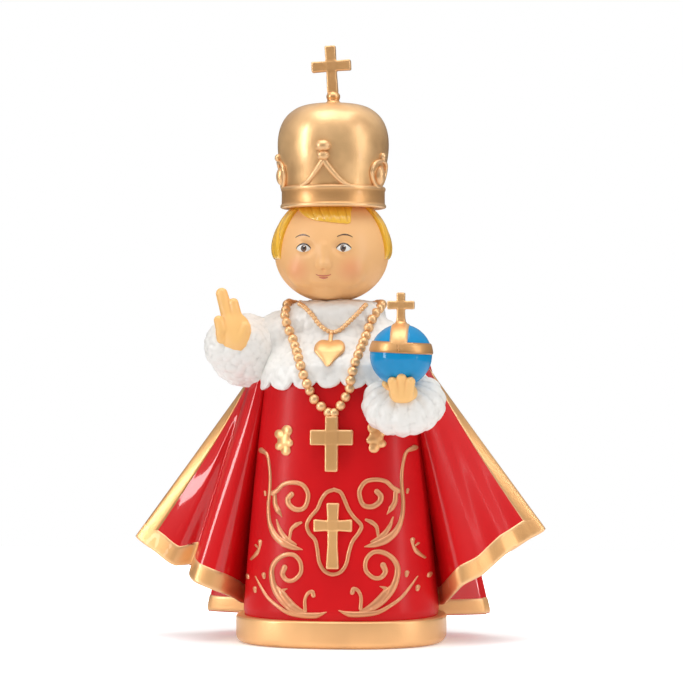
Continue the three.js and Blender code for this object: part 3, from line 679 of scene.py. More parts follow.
# %% Wings
left_hem = [
    (-52.4, 1.8, 25.3), (-47.4, -0.4, 22.1), (-42.6, -1.6, 19), (-37.5, -0.4, 19.8), (-37.5, -5.6, 16.7),
    (-35.6, -9.2, 15.2), (-31.4, -10.2, 13.6), (-28.2, -8.2, 12.2), (-26.4, -3, 10.5), (-24.6, 2.2, 8.8),
    (-18, 6, 9), (-24, 11, 9), (-34, 12.2, 14.2), (-43.5, 9, 20), (-50.2, 4.8, 24.6),
]
right_hem = [
    (50.6, 1.8, 28), (48.6, 5, 27.7), (42.5, 9, 23.8), (34, 12.2, 16.2), (24, 11, 9),
    (18, 6, 9), (24.6, 2.2, 9), (26.2, -2.2, 10.2), (28.4, -7.4, 12.6), (31, -9.6, 15.2),
    (35.4, -7.4, 17.4), (38.2, -5.4, 19.8), (41.4, -3.7, 22.6), (44.3, -1.4, 24.3), (47.4, 0, 26.3),
]
left_top = [(x, y, shoulder_height) for x, y in (
    (-21.4, 2.6), (-21.8, 0.6), (-21.8, -1.4), (-21.6, -3), (-21.4, -4.6), (-20.6, -6.6), (-19.2, -8),
    (-17.6, -8), (-16.8, -6), (-15.6, -2), (-10, 3), (-12, 8), (-15.6, 9), (-18.6, 7), (-20.4, 4.8),
)]
right_top = [(-x, y, z) for x, y, z in left_top[:1] + left_top[:0:-1]]


def wing_point(hem, top, turn, fall):
    return mix(closed_curve(top, turn), closed_curve(hem, turn), fall**0.94)


def inward(edge):
    """Unit steps from the points of an edge towards its middle."""
    way = edge.mean(0) - edge
    return way / np.linalg.norm(way, axis=1)[:, None]


def wing_form(hem, top, columns=480, rows=50, lip=1.5):
    """A wing with a hollow underside behind a lip."""
    turn = np.arange(columns) / columns
    rings = [wing_point(hem, top, turn, fall) for fall in np.linspace(0, 1, rows)]
    edge = rings[-1]
    inner = edge + inward(edge) * lip
    deep = wing_point(hem, top, turn, 0.88) + inward(edge) * lip * 1.1
    rings += [edge + inward(edge) * lip * 0.5 + [0, 0, -0.25], inner, mix(inner, deep, 0.3), deep]
    return skin(np.stack(rings))


make_piece("mantle_left_wing", wing_form(left_hem, left_top), red_paint)
make_piece("mantle_right_wing", wing_form(right_hem, right_top), red_paint)

# %% Mantle back
mantle_hem, mantle_top = 5.7, 84.6
mantle_cover, mantle_side, mantle_flare = 2.0, 0.3, 11.2
fold_depth, folds = 1.15, 18


def mantle_back_ring(angle, rise):
    """The back lies on the blouse at the shoulders and flares to both sides below."""
    fall = 1 - rise
    z = mix(mantle_hem, mantle_top, rise)
    half_width = torso_half_width(z) + mix(mantle_side, mantle_flare, fall)
    corner_y = mix(3, 11.7, fall)
    back = torso_half_width(z) * torso_depth + mantle_cover - corner_y
    fold = fold_depth * fall * np.cos(angle * folds + 0.7 * np.sin(angle * 2))
    across, along = np.sin(angle), -np.cos(angle)
    behind = along > 0
    width = np.sign(across) * np.abs(across) ** np.where(behind, 0.8, 1.6)
    depth = np.where(behind, (back + fold) * np.abs(along) ** 0.8, -mix(1, 9, fall) * np.abs(along) ** 1.3)
    x = (half_width + np.where(behind, fold, 0)) * width + neck_shift(z)
    return np.stack([x, corner_y + depth, z + 0 * angle], -1)


mantle_back = rings_form(mantle_back_ring, np.linspace(0, 1, 60), 360)
make_piece("mantle_back", mantle_back, red_paint)

# %% [markdown]
# ## Raised gold borders
# The border is part of the relief: it stands a little above the cloth, with soft edges. It is laid on by
# taking a strip of the cloth's own surface and lifting its middle along the surface's normals. Its edges
# stay just below the cloth, so the line between red and gold is the line where the two forms meet.

# %% Lay a band on a surface
def lay_band(strips, inside, height, sunk=0.35, low=0.12):
    """A closed band on a surface: lifted in the middle, its long edges just under the surface."""
    grid = np.stack(strips, axis=1)
    out = np.cross(np.gradient(grid, axis=0), np.gradient(grid, axis=1))
    out /= np.maximum(np.linalg.norm(out, axis=2), 1e-9)[..., None]
    if np.einsum("ijk,ijk->ij", out, grid - np.asarray(inside, float)).mean() < 0:
        out = -out
    across = np.linspace(-1, 1, grid.shape[1])
    lift = height * np.sqrt(np.clip(1 - np.abs(across) ** 6, 0, 1)) - low
    top, under = grid + out * lift[None, :, None], grid - out * sunk
    return skin(np.concatenate([top, under[:, ::-1]], axis=1))


def wing_edge_band(hem, top, way, width_top, width_hem, back_width=2.2, rows=160):
    """Gold along the outer edge of a wing, wrapped round it."""
    turn = np.linspace(0, 0.2, 160) * way
    rings = []
    for fall in np.linspace(0, 1, rows):
        taper = smooth(fall * 30)
        width = mix(width_top, width_hem, fall) * taper
        front = even_line(wing_point(hem, top, turn, fall), np.linspace(0, max(width, 0.05), 12))
        behind = even_line(wing_point(hem, top, -turn, fall), np.linspace(back_width * taper, 0, 8))
        rings.append(np.vstack([behind[:-1], front]))
    middle = wing_point(hem, top, np.linspace(0, 1, 60), 0.75).mean(0)
    return lay_band(np.stack(rings, axis=1), middle, 0.32)


def wing_hem_band(hem, top, width, columns=481):
    """Gold along the whole hem of a wing, turned under at the lip."""
    turn = np.linspace(0, 1, columns)
    edge, above = wing_point(hem, top, turn, 1), wing_point(hem, top, turn, 0.5)
    length = np.linalg.norm(above - edge, axis=1)
    strips = [mix(edge, above, (width * share / length)[:, None]) for share in 1 - np.linspace(0, 1, 12)]
    for reach, drop in ((0.4, 0.2), (0.9, 0.25), (1.4, 0.1)):
        strips.append(edge + inward(edge) * reach - [0, 0, drop])
    return lay_band(strips, edge.mean(0) + [0, 0, 12], 0.34)


def back_hem_band(width=4.2, columns=420):
    angle = np.linspace(0, 1, columns) * TURN
    rises = np.linspace(width / (mantle_top - mantle_hem), 0.0, 12)
    return lay_band([mantle_back_ring(angle, rise) for rise in rises], (0, 12, 12), 0.32)


borders = join(
    wing_edge_band(left_hem, left_top, 1, 3.0, 4.4),
    wing_edge_band(right_hem, right_top, -1, 3.0, 3.8),
    wing_hem_band(left_hem, left_top, 4.8),
    wing_hem_band(right_hem, right_top, 4.6),
)
make_piece("mantle_borders", borders, gold_paint)
make_piece("mantle_back_border", back_hem_band(), gold_paint)

# %% [markdown]
# ## White blouse
# The blouse is modelled like fleece or gathered lace: small round puffs with soft creases between them.
# The big forms come first, as blended fields, and then the puffs push the surface in and out.
# Its front ends in a bib with a scalloped edge, so the field's lower limit is a row of round lobes.

# %% Blouse, right sleeve and left cuff
bib_foot, bib_lobe, bib_pitch, bib_thickness = 65.4, 2.1, 6.0, 1.15
cuff_centre, cuff_tilt, cuff_lobes = (17.1, -16.6, 59.6), 0.62, 7


def torso_field(p, grow=0.0):
    half_width = torso_half_width(p[2]) + grow
    half_depth = torso_half_width(p[2]) * torso_depth + grow
    across = np.abs((p[0] - neck_shift(p[2])) / half_width) ** plan_power
    along = np.abs(p[1] / half_depth) ** plan_power
    return ((across + along) ** (1 / plan_power) - 1) * np.minimum(half_width, half_depth)


def bib_edge(x):
    lobes = np.sqrt(np.abs(np.cos(math.pi * (x + 1.3) / bib_pitch)))
    return bib_foot - bib_lobe * lobes - 0.045 * np.abs(x)


def blouse_field(p):
    form = torso_field(p, bib_thickness)
    lace = np.minimum(bib_edge(p[0]) - p[2], 3.0)
    form = carve(form, -lace, 1.1)
    form = np.maximum(form, p[2] - collar_top + 0.2)
    form = blend(form, limb(p, (10.5, -3, 72.5), (17.5, -13.5, 61.5), 7.4, 6.2), 2.5)
    return blend(form, ellipsoid(p, (-14.2, -3, 74.2), (8.4, 7, 8)), 2.5)


def sleeve_field(p):
    puff = ellipsoid(p, (-23.2, -4.6, 72.4), (9.2, 7.8, 9))
    opening = ellipsoid(p, (-25.6, -9.2, 73.6), (7.6, 5.2, 6.6))
    return blend(puff, opening, 2)


def cuff_field(p):
    """A flat round cuff that leans back, with lobes all round."""
    x, y, z = [p[i] - cuff_centre[i] for i in range(3)]
    lean, rise = math.cos(cuff_tilt), math.sin(cuff_tilt)
    along, up = y * lean + z * rise, z * lean - y * rise
    lobe = 0.5 * np.abs(np.cos(cuff_lobes * np.arctan2(x, -along))) - 0.15
    return ellipsoid([x, along, up], (0, 0, 0), (9.9, 10.1, 6)) - lobe


blouse = cast(blouse_field, (-25, -24, 59), (26, 22, 87), 0.36)
make_piece("blouse", fluff(blouse, (3.0, 0.35, 3), (1.7, 0.3, 11)), white_paint)
sleeve = cast(sleeve_field, (-35, -16, 61), (-11, 6, 83), 0.3)
make_piece("right_sleeve", fluff(sleeve, (3.2, 0.6, 5), (1.8, 0.5, 12)), white_paint)
cuff = cast(cuff_field, (5, -29, 50), (29, -4, 69), 0.3)
make_piece("left_cuff", fluff(cuff, (3.2, 0.5, 8), (1.8, 0.35, 13)), white_paint)

# %% [markdown]
# ## Hands
# The right hand is raised in the old sign of blessing: the first two fingers up, the others folded, the
# thumb across. The left hand cups the orb. At this size a hand is a handful of bars with round ends.

# %% Hands
right_palm = (-25.4, -12.6, 77.9)
orb_centre, orb_radius = (16.9, -21.8, 71.3), 7.5


def right_hand_field(p):
    q = [p[i] - right_palm[i] for i in range(3)]
    palm = ellipsoid(q, (0.2, 0, -1), (4.3, 2.5, 4.9))
    wrist = limb(q, (0.8, 0.1, -3.5), (1.3, 2.2, -6.0), 2.6, 2.1)
    middle = limb(q, (-0.9, 0, 1.5), (-2.9, 0.2, 8.5), 1.75, 1.45)
    index = limb(q, (1.0, -0.2, 1.8), (0.1, -0.1, 6.2), 1.5, 1.2)
    ring = limb(q, (-2.7, -1.3, -0.4), (-3.4, -1.5, 1.9), 1.45, 1.2)
    small = limb(q, (-2.7, -1.2, -2.6), (-3.0, -1.6, -1.4), 1.3, 1.1)
    thumb = limb(q, (1.4, -1.0, -3.4), (3.3, -1.2, 0.3), 1.6, 1.25)
    hand = blend(blend(palm, wrist, 1.6), middle, 0.8)
    for finger in (index, ring, small, thumb):
        hand = blend(hand, finger, 0.45)
    return hand


def left_hand_field(p):
    q = [p[i] - orb_centre[i] for i in range(3)]
    hand = ellipsoid(q, (0.6, -0.4, -9.2), (3.5, 4.4, 2.9))
    for across, tip in ((-2.2, -6.3), (0, -5.3), (2.2, -6.3)):
        knuckle, end = (0.6 + across * 0.6, -3.6, -10), (0.6 + across, -5.3, tip)
        hand = blend(hand, limb(q, knuckle, end, 1.25, 1.15), 0.6)
    thumb = limb(q, (-1.6, 1.6, -8.6), (-3.6, -0.6, -6.9), 1.2, 1.0)
    return blend(hand, thumb, 0.6)


right_hand = cast(right_hand_field, (-32, -18, 66), (-17, -7, 90), 0.22)
make_piece("right_hand", right_hand, skin_paint)
left_hand = cast(left_hand_field, (8, -31, 57), (26, -14, 69), 0.22)
make_piece("left_hand", left_hand, skin_paint)

# %% [markdown]
# ## Orb
# A royal orb is a globe with a belt, an arch over the top and a cross. The belt and the arch are strips
# of slightly larger spheres, laid on the globe like the borders on the cloth.

# %% Orb
belt_height, belt_half_width, belt_tilt, orb_band_lift = 0.25, 0.2, 0.05, 0.42


def globe_ring(angle, up):
    """Points on the orb, up radians above its middle."""
    return around(orb_centre, orb_radius * np.cos(up), angle, orb_centre[2] + orb_radius * np.sin(up))


def belt_form(columns=160):
    angle = np.linspace(0, TURN, columns)
    tilt = belt_tilt * np.sin(angle)
    ups = [belt_height + share * belt_half_width - tilt for share in np.linspace(-1, 1, 12)]
    return lay_band([globe_ring(angle, up) for up in ups], orb_centre, orb_band_lift)


def arch_form(rows=90, half_width=2.3):
    x, y, z = orb_centre
    over = np.linspace(0.2, math.pi - 0.2, rows)
    strips = []
    for aside in half_width * np.linspace(-1, 1, 12):
        radius = math.sqrt(orb_radius**2 - aside**2)
        strip = [x + aside + 0 * over, y - radius * np.cos(over), z + radius * np.sin(over)]
        strips.append(np.stack(strip, -1))
    return lay_band(strips, orb_centre, orb_band_lift)


def cross_field(p, foot, height, span, bar, depth, arm_height, lean=0.0):
    """An upright cross whose ends spread a little; the foot is the middle of its lower end."""
    x, y, z = [p[i] - foot[i] for i in range(3)]
    x, z = x * math.cos(lean) + z * math.sin(lean), -x * math.sin(lean) + z * math.cos(lean)
    flare, rounding = 0.18, 0.35
    up, arm_up = z - height / 2, z - arm_height
    post = [x / (1 + flare * np.abs(up / height)), y, up]
    arm = [x, y, arm_up / (1 + flare * np.abs(x / span))]
    post = block(post, (bar / 2, depth / 2, height / 2), rounding)
    arm = block(arm, (span / 2, depth / 2, bar / 2), rounding)
    return blend(post, arm, 0.3)


def orb_cross_field(p):
    x, y, z = orb_centre
    top = z + orb_radius
    cross = cross_field(p, (x, y, top + 0.4), 7.2, 6.6, 1.9, 1.9, 4.15)
    foot = limb(p, (x, y, top - 0.4), (x, y, top + 0.8), 2.0, 1.0)
    return blend(cross, foot, 0.5)


orb_cross = cast(orb_cross_field, (12, -25, 76), (22, -18, 89), 0.18)
globe = rings_form(globe_ring, np.linspace(-1.5, 1.5, 80), 128)
make_piece("orb", globe, blue_paint)
make_piece("orb_fittings", join(belt_form(), arch_form(), orb_cross), gold_paint)

# %% [markdown]
# ## Head
# The head is an egg with a full lower half, as a doll's is. The face is my own: calm, with the eyes half
# way down the head, the nose ending halfway between eyes and chin, and the mouth a third below the nose.

# %% Head
head_centre = np.array([-2.3, -1.4, 96.4])
head_radii, skull_rise = (14.2, 13.2, 12.1), 15.0
face_middle, eye_height, eye_gap = -2.9, 97.4, 5.0
nose_height, mouth_height, chin_height = 93.5, 90.7, 87.2


def head_front(x, z):
    """Y of the bare egg's front."""
    rest = 1 - ((x - head_centre[0]) / head_radii[0]) ** 2 - ((z - head_centre[2]) / head_radii[2]) ** 2
    return head_centre[1] - head_radii[1] * np.sqrt(np.maximum(rest, 0.02))


def face_place(across, z, depth, level=None):
    """A place beside the face's middle line, at a depth behind the bare egg's front at that level."""
    x = face_middle + across
    return x, head_front(x, z if level is None else level) + depth, z


def head_field(p):
    tall = np.where(p[2] > head_centre[2], skull_rise, head_radii[2])
    near = [(p[i] - head_centre[i]) / radius for i, radius in enumerate((*head_radii[:2], tall))]
    egg = (np.sqrt(sum(q**2 for q in near)) - 1) * 12.8
    for side in (-1, 1):
        cheek = ellipsoid(p, face_place(side * 5.6, 91.8, 2.5), (3.8, 2.9, 3.4))
        egg = blend(egg, cheek, 2.2)
        hollow = face_place(side * eye_gap, eye_height + 0.2, -0.55, eye_height)
        egg = carve(egg, ellipsoid(p, hollow, (2.3, 1.1, 1.7)), 1.3)
        ball = ellipsoid(p, face_place(side * eye_gap, eye_height, 1.75), (2.0, 1.9, 1.9))
        egg = blend(egg, ball, 0.5)
    chin = ellipsoid(p, face_place(0, chin_height, 1.4, 86.6), (2.6, 2.0, 1.7))
    egg = blend(egg, chin, 2.0)
    bridge = limb(p, face_place(0, 97.8, 0.55, 97.6), face_place(0, 94.0, -0.1), 0.75, 0.95)
    tip = ellipsoid(p, face_place(0, nose_height, -0.25, 93.4), (1.2, 1.15, 0.95))
    egg = blend(egg, blend(bridge, tip, 0.8), 1.3)
    for side in (-1, 1):
        wing = ellipsoid(p, (face_middle + side * 1.0, *face_place(0, 93.2, 0.25)[1:]), (0.75, 0.8, 0.62))
        egg = blend(egg, wing, 0.45)
    philtrum = limb(p, face_place(0, 92.3, -0.35, 92.2), face_place(0, 91.4, -0.35), 0.28)
    egg = carve(egg, philtrum, 0.5)
    muzzle = ellipsoid(p, face_place(0, 90.6, 1.3), (3.1, 1.9, 1.9))
    return blend(egg, muzzle, 1.4)


def add_blush(paint, centre, reach, colour):
    """A soft round patch of another colour on a paint, round a place in millimetres."""
    tree = paint.node_tree
    base = tree.nodes["Principled BSDF"].inputs["Base Color"]
    away = add_node(tree, "VectorMath", "DISTANCE", Vector=add_node(tree, "TexCoord").outputs["Object"])
    away.inputs[1].default_value = [c * MM for c in centre]
    fade = ramp(tree, away.outputs["Value"], reach * MM, 0.0, 0.0, 0.5, "SMOOTHSTEP")
    feed(tree, base, mix_colour(tree, fade, base.links[0].from_socket, colour))


for side in (-1, 1):
    add_blush(face_paint, face_place(side * 6.6, 92.4, -0.4), 4.6, (0.86, 0.26, 0.13))
head = cast(head_field, (-19, -18, 83), (14.5, 14, 110), 0.26)
make_piece("head", head, face_paint)

# %% [markdown]
# ## Eyes, brows and lips
# Painted features sit on the relief like the borders do: each is a thin cap that follows the face, so its
# outline stays crisp. White, iris, pupil and a small painted highlight are four caps, each a hair
# above the last.

# %% Painted features
def face_point(x, z, lift):
    """Points on the finished face."""
    y = walk_in(head_field, x, z, start=-19.0, back=0.05)
    return np.stack([x, y - lift, z], -1)


def cap_form(outline, middle, lift, rings=8):
    """A thin domed patch inside an outline of (x, z) points."""
    grid = []
    for share in np.linspace(0.08, 1, rings):
        x, z = mix(np.asarray(middle, float), outline, share).T
        grid.append(face_point(x, z, lift * (1 - share**4) + 0.02))
    rim = face_point(*outline.T, -0.12)
    return skin(np.stack(grid + [rim]))


def lens_outline(middle, half_width, rise, fall, count=40):
    """An eye shape: pointed corners, a high upper curve and a flatter lower one."""
    angle = np.arange(count) / count * TURN
    height = np.where(np.sin(angle) > 0, rise, fall)
    z = height * np.sign(np.sin(angle)) * np.abs(np.sin(angle)) ** 1.25
    return np.stack([middle[0] + half_width * np.cos(angle), middle[1] + z], -1)


def round_cap(middle, radius, lift, count=32, rings=8):
    angle = np.arange(count) / count * TURN
    outline = np.stack([middle[0] + radius * np.cos(angle), middle[1] + radius * np.sin(angle)], -1)
    return cap_form(outline, middle, lift, rings)


def brush_line(points, widths, lift, columns=26):
    """A painted stroke on the face through (x, z) points."""
    points = np.asarray(points, float)
    share = np.linspace(0, 1, columns)
    curve = np.polyfit(np.linspace(0, 1, len(points)), points, min(3, len(points) - 1))
    path = np.stack([np.polyval(curve[:, i], share) for i in range(2)], -1)
    width = np.interp(share, np.linspace(0, 1, len(widths)), widths)
    way = np.gradient(path, axis=0)
    side = np.stack([-way[:, 1], way[:, 0]], -1) / np.linalg.norm(way, axis=1)[:, None]
    rings = []
    for k in np.arange(12) / 12 * TURN:
        place = path + side * (width * math.cos(k))[:, None]
        rings.append(face_point(place[:, 0], place[:, 1], lift * math.sin(k)))
    return skin(np.stack(rings, axis=1))


whites, irises, darks, lights = [], [], [], []
for side in (-1, 1):
    x, z = face_middle + side * eye_gap, eye_height
    whites.append(cap_form(lens_outline((x, z), 1.75, 1.05, 0.85), (x, z), 0.1))
    irises.append(round_cap((x - side * 0.1, z + 0.06), 0.92, 0.16))
    darks.append(round_cap((x - side * 0.1, z + 0.1), 0.52, 0.22))
    # A painted highlight: a small white dot above each pupil.
    lights.append(round_cap((x + 0.22, z + 0.5), 0.2, 0.27, 16, 4))
    lid = [(x - 1.85, z), (x - 1.0, z + 0.88), (x, z + 1.16), (x + 1.0, z + 0.88), (x + 1.85, z)]
    darks.append(brush_line(lid, (0.08, 0.2, 0.24, 0.2, 0.08), 0.16))
    arch = [(x - side * 1.6, z + 2.85), (x + side * 0.3, z + 3.4), (x + side * 2.1, z + 2.75)]
    irises.append(brush_line(arch, (0.1, 0.2, 0.07), 0.12))
make_piece("eye_whites", join(*whites), white_paint)
make_piece("irises_and_brows", join(*irises), iris_paint)
make_piece("pupils_and_lashes", join(*darks), dark_paint)
make_piece("eye_painted_highlights", join(*lights), white_paint)

smile = [(-1.9, 0.4), (-0.8, 0.02), (0.8, 0.02), (1.9, 0.4)]
lower = [(-1.1, -0.36), (0, -0.58), (1.1, -0.36)]
mouth = (face_middle, mouth_height)
lips = join(
    brush_line(np.add(smile, mouth), (0.06, 0.16, 0.16, 0.06), 0.14),
    brush_line(np.add(lower, mouth), (0.08, 0.26, 0.08), 0.2),
)
make_piece("lips", lips, lip_paint)

# %% [markdown]
# ## Hair
# Hair in a casting is a cap with grooves. Its locks start under the crown and fall to the sides; over the
# forehead they sweep across. Each lock is one wave of the grooves, so the waves follow the way it is combed.

# %% Hair cap
hair_top, ear_height, nape_height, locks = 110.5, 95.0, 88.2, 22
fringe_turns = [-0.16, -0.108, -0.07, -0.032, 0.022, 0.068, 0.078, 0.087, 0.12]
fringe_heights = [107.9, 106.4, 105.1, 104.2, 103.7, 103.4, 103.7, 106.0, 109.0]


def hair_edge(angle):
    """How far down the hair reaches at a turn from -0.5 to 0.5, in millimetres up from the floor."""
    beside = np.abs(angle)
    fringe = np.interp(angle, fringe_turns, fringe_heights)
    inner = np.where(angle < 0, 0.148, 0.198)
    temple = mix(fringe, ear_height, smooth((beside - inner) / 0.02 + 0.5))
    return mix(temple, nape_height, smooth((beside - 0.3) / 0.07))


def hair_form(columns=600, rows=80):
    angle = (np.arange(columns) / columns + 0.5) % 1 - 0.5
    front = smooth((0.15 - np.abs(angle)) / 0.03)
    grid = []
    for share in np.linspace(0, 1, rows):
        z = mix(hair_top, hair_edge(angle), share**0.9)
        tall = np.where(z > head_centre[2], skull_rise, head_radii[2])
        ring = np.sqrt(np.clip(1 - ((z - head_centre[2]) / tall) ** 2, 0.02, 1))
        sweep = 0.07 * share * np.exp(-(((angle + 0.03) / 0.1) ** 2))
        wave = 1.5 * share * np.sign(angle) * np.abs(np.sin(TURN * angle))
        comb = TURN * ((angle - sweep) * locks + wave)
        groove = 0.32 * np.abs(np.cos(comb / 2)) ** 0.8 + 0.04 * np.cos(comb * 2.3)
        thick = (0.75 + groove) * np.sqrt(np.clip(1 - share**8, 0, 1)) * (1 - 0.35 * front)
        x = head_centre[0] + (head_radii[0] * ring + thick) * np.sin(TURN * angle)
        y = head_centre[1] - (head_radii[1] * ring + thick) * np.cos(TURN * angle)
        grid.append(np.stack([x, y, z], -1))
    under = grid[-1] + (head_centre - grid[-1]) * [0.06, 0.06, 0] + [0, 0, 0.3]
    return skin(np.stack(grid + [under]))


make_piece("hair", hair_form(), hair_paint)

# %% [markdown]
# ## Crown
# The crown is a band with a tall cap that swells above it. Five pointed ridges stand on the band; the
# front one carries two knobs, and the others frame a leaf. A small cross on a collar tops it off.

# %% Crown cap and band
crown_axis, crown_radius, crown_turn = (-2, -0.6), 12.6, -0.065
crown_foot, crown_band, crown_top = 107.7, 5.4, 134.1
cap_inset, cap_bulge = 0.3, 1.6

# The band's outline: steps out from the crown's radius and up from its foot, with a rolled edge at each end.
band_steps = [
    (-1.6, 0.1), (-0.1, 0.0), (0.35, 0.12), (0.62, 0.4), (0.62, 0.75), (0.42, 1.05), (0.3, 1.3),
    (0.28, 2.5), (0.28, 4.2), (0.42, 4.5), (0.5, 4.8), (0.42, 5.15), (0.2, 5.4), (-0.4, 5.5), (-1.4, 5.5),
]


def on_crown(angle, z, lift=0.0):
    """Points on the cap, which swells above the band and closes at its top."""
    share = np.clip((z - crown_foot - crown_band) / (crown_top - crown_foot - crown_band), 0, 1)
    bulge = cap_bulge * np.sin(math.pi * np.clip(share * 1.1, 0, 1) ** 1.2)
    radius = (crown_radius - cap_inset + bulge) * (1 - share**9) ** 0.36
    return around(crown_axis, radius + lift, angle, z)


def band_ring(angle, step):
    return around(crown_axis, crown_radius + step[0], angle, crown_foot + step[1])


# The cap's rows come closer together towards its round top.
cap_heights = mix(crown_foot + 1.5, crown_top - 0.0001, 1 - (1 - np.linspace(0, 1, 70)) ** 3)
# The cap takes the lightened gold, which paints the cap's bright sheen into its colour.
make_piece("crown_cap", rings_form(on_crown, cap_heights, 200), lit_crown_gold)
band = rings_form(band_ring, band_steps, 200)
print("band corners:", len(band[0]))

# %% Peaks, knobs and the small cross
def tube(points, radii, sides=12):
    """A round bar along points in space, its radius given at each point."""
    way = np.gradient(points, axis=0)
    way /= np.linalg.norm(way, axis=1)[:, None]
    aside = np.cross(way, [0.0, 0.0, 1.0])
    aside /= np.linalg.norm(aside, axis=1)[:, None]
    third = np.cross(way, aside)
    turn = np.arange(sides) / sides * TURN
    ring = aside[:, None] * np.cos(turn)[None, :, None] + third[:, None] * np.sin(turn)[None, :, None]
    return skin(points[:, None] + ring * radii[:, None, None])


def ball_form(centre, radii, columns=20, rows=12):
    def ring(angle, up):
        return around((0, 0), np.cos(up), angle, np.sin(up)) * radii + centre
    return rings_form(ring, np.linspace(-1.45, 1.45, rows), columns)


def front_peak(foot, middle):
    """A peak with hollow sides, and two knobs above its tip."""
    share = np.linspace(-1, 1, 61)
    tip = 1 - np.abs(share)
    return [
        tube(on_crown(middle + 0.51 * share, foot + 6.3 * tip**1.6, 0.15), 0.6 + 0.12 * tip),
        ball_form(on_crown(middle, foot + 7.3, 0.4), (1.55, 1.3, 1.25)),
        ball_form(on_crown(middle, foot + 9.6, 0.4), (1.95, 1.6, 1.45)),
    ]


def leaf_peak(foot, middle):
    """A pointed ring round a leaf, with a knob at its tip."""
    turn = np.linspace(-1, 1, 61) * math.pi
    angle = middle + 0.27 * np.sin(turn) * (1 - 0.25 * np.cos(turn))
    return [
        tube(on_crown(angle, foot + 3.2 - 3.2 * np.cos(turn), 0.3), 0.55 + 0.1 * np.cos(turn)),
        ball_form(on_crown(middle, foot + 2.9, -0.1), (1.7, 1.7, 2.5)),
        ball_form(on_crown(middle, foot + 7.4, 0.2), (0.9, 0.9, 1.0)),
    ]


def crown_top_field(p):
    x, y = crown_axis
    collar = ellipsoid(p, (x, y, crown_top + 1.7), (1.75, 1.75, 1.3))
    cone = limb(p, (x, y, crown_top - 1.4), (x, y, crown_top + 0.7), 3.2, 1.4)
    cross = cross_field(p, (x - 0.1, y, crown_top + 2.6), 11.8, 9.9, 2.5, 2.3, 6.7, 0.06)
    return blend(blend(cone, collar, 0.5), cross, 0.4)


peak_foot = crown_foot + crown_band - 0.2
peaks = front_peak(peak_foot, crown_turn)
for k in range(1, 5):
    peaks += leaf_peak(peak_foot, crown_turn + TURN * k / 5)
finial = cast(crown_top_field, (-9, -6, 131), (5, 5, 150), 0.2)
make_piece("crown_fittings", join(band, *peaks, finial), gold_paint)

# %% [markdown]
# ## Raised scrollwork
# The gold scrolls on the robe are ribs: round on top, wide where a leaf swells and thin at a tip. A rib
# is drawn as a flat path across and up, given a width at each point, and laid on the robe's front. The
# right half is the left half mirrored and set a little higher, as the modeller's hand did.

# %% Ribs on the robe
def robe_normal(x, z, step=0.05):
    """Outward normals of the robe's front."""
    across = (robe_front(x + step, z) - robe_front(x - step, z)) / (2 * step)
    up = (robe_front(x, z + step) - robe_front(x, z - step)) / (2 * step)
    out = np.stack([across, -np.ones_like(across), up], -1)
    return out / np.linalg.norm(out, axis=-1)[..., None]


def rib(points, widths, fineness=12, columns=11, height=0.62):
    """A raised rib on the robe through (across, up) points, with a round end to each side."""
    samples = fineness * (len(points) - 1) + 1
    path = open_curve(points, samples)
    width = np.interp(np.linspace(0, 1, samples), np.linspace(0, 1, len(widths)), widths)
    way = np.gradient(path, axis=0)
    way /= np.linalg.norm(way, axis=1)[:, None]
    bend = np.linspace(0, math.pi / 2, 6)[1:, None]
    head = path[0] - way[0] * width[0] * np.sin(bend[::-1])
    tail = path[-1] + way[-1] * width[-1] * np.sin(bend)
    path = np.vstack([head, path, tail])
    way = np.vstack([np.repeat(way[:1], 5, 0), way, np.repeat(way[-1:], 5, 0)])
    narrow = np.cos(bend[:, 0])
    width = np.concatenate([width[0] * narrow[::-1], width, width[-1] * narrow]) + 0.01
    side = np.stack([-way[:, 1], way[:, 0]], -1)
    across = np.linspace(-1, 1, columns)
    place = path[:, None] + side[:, None] * (width[:, None] * across)[..., None]
    x, z = place[..., 0], place[..., 1]
    out = robe_normal(x, z)
    rise = (height * width + 0.22)[:, None] * np.sqrt(np.maximum(1 - across**2, 0)) ** 0.8 - 0.12
    base = np.stack([x, robe_front(x, z), z], -1)
    return skin(np.concatenate([base + out * rise[..., None], (base - out * 0.4)[:, ::-1]], axis=1))


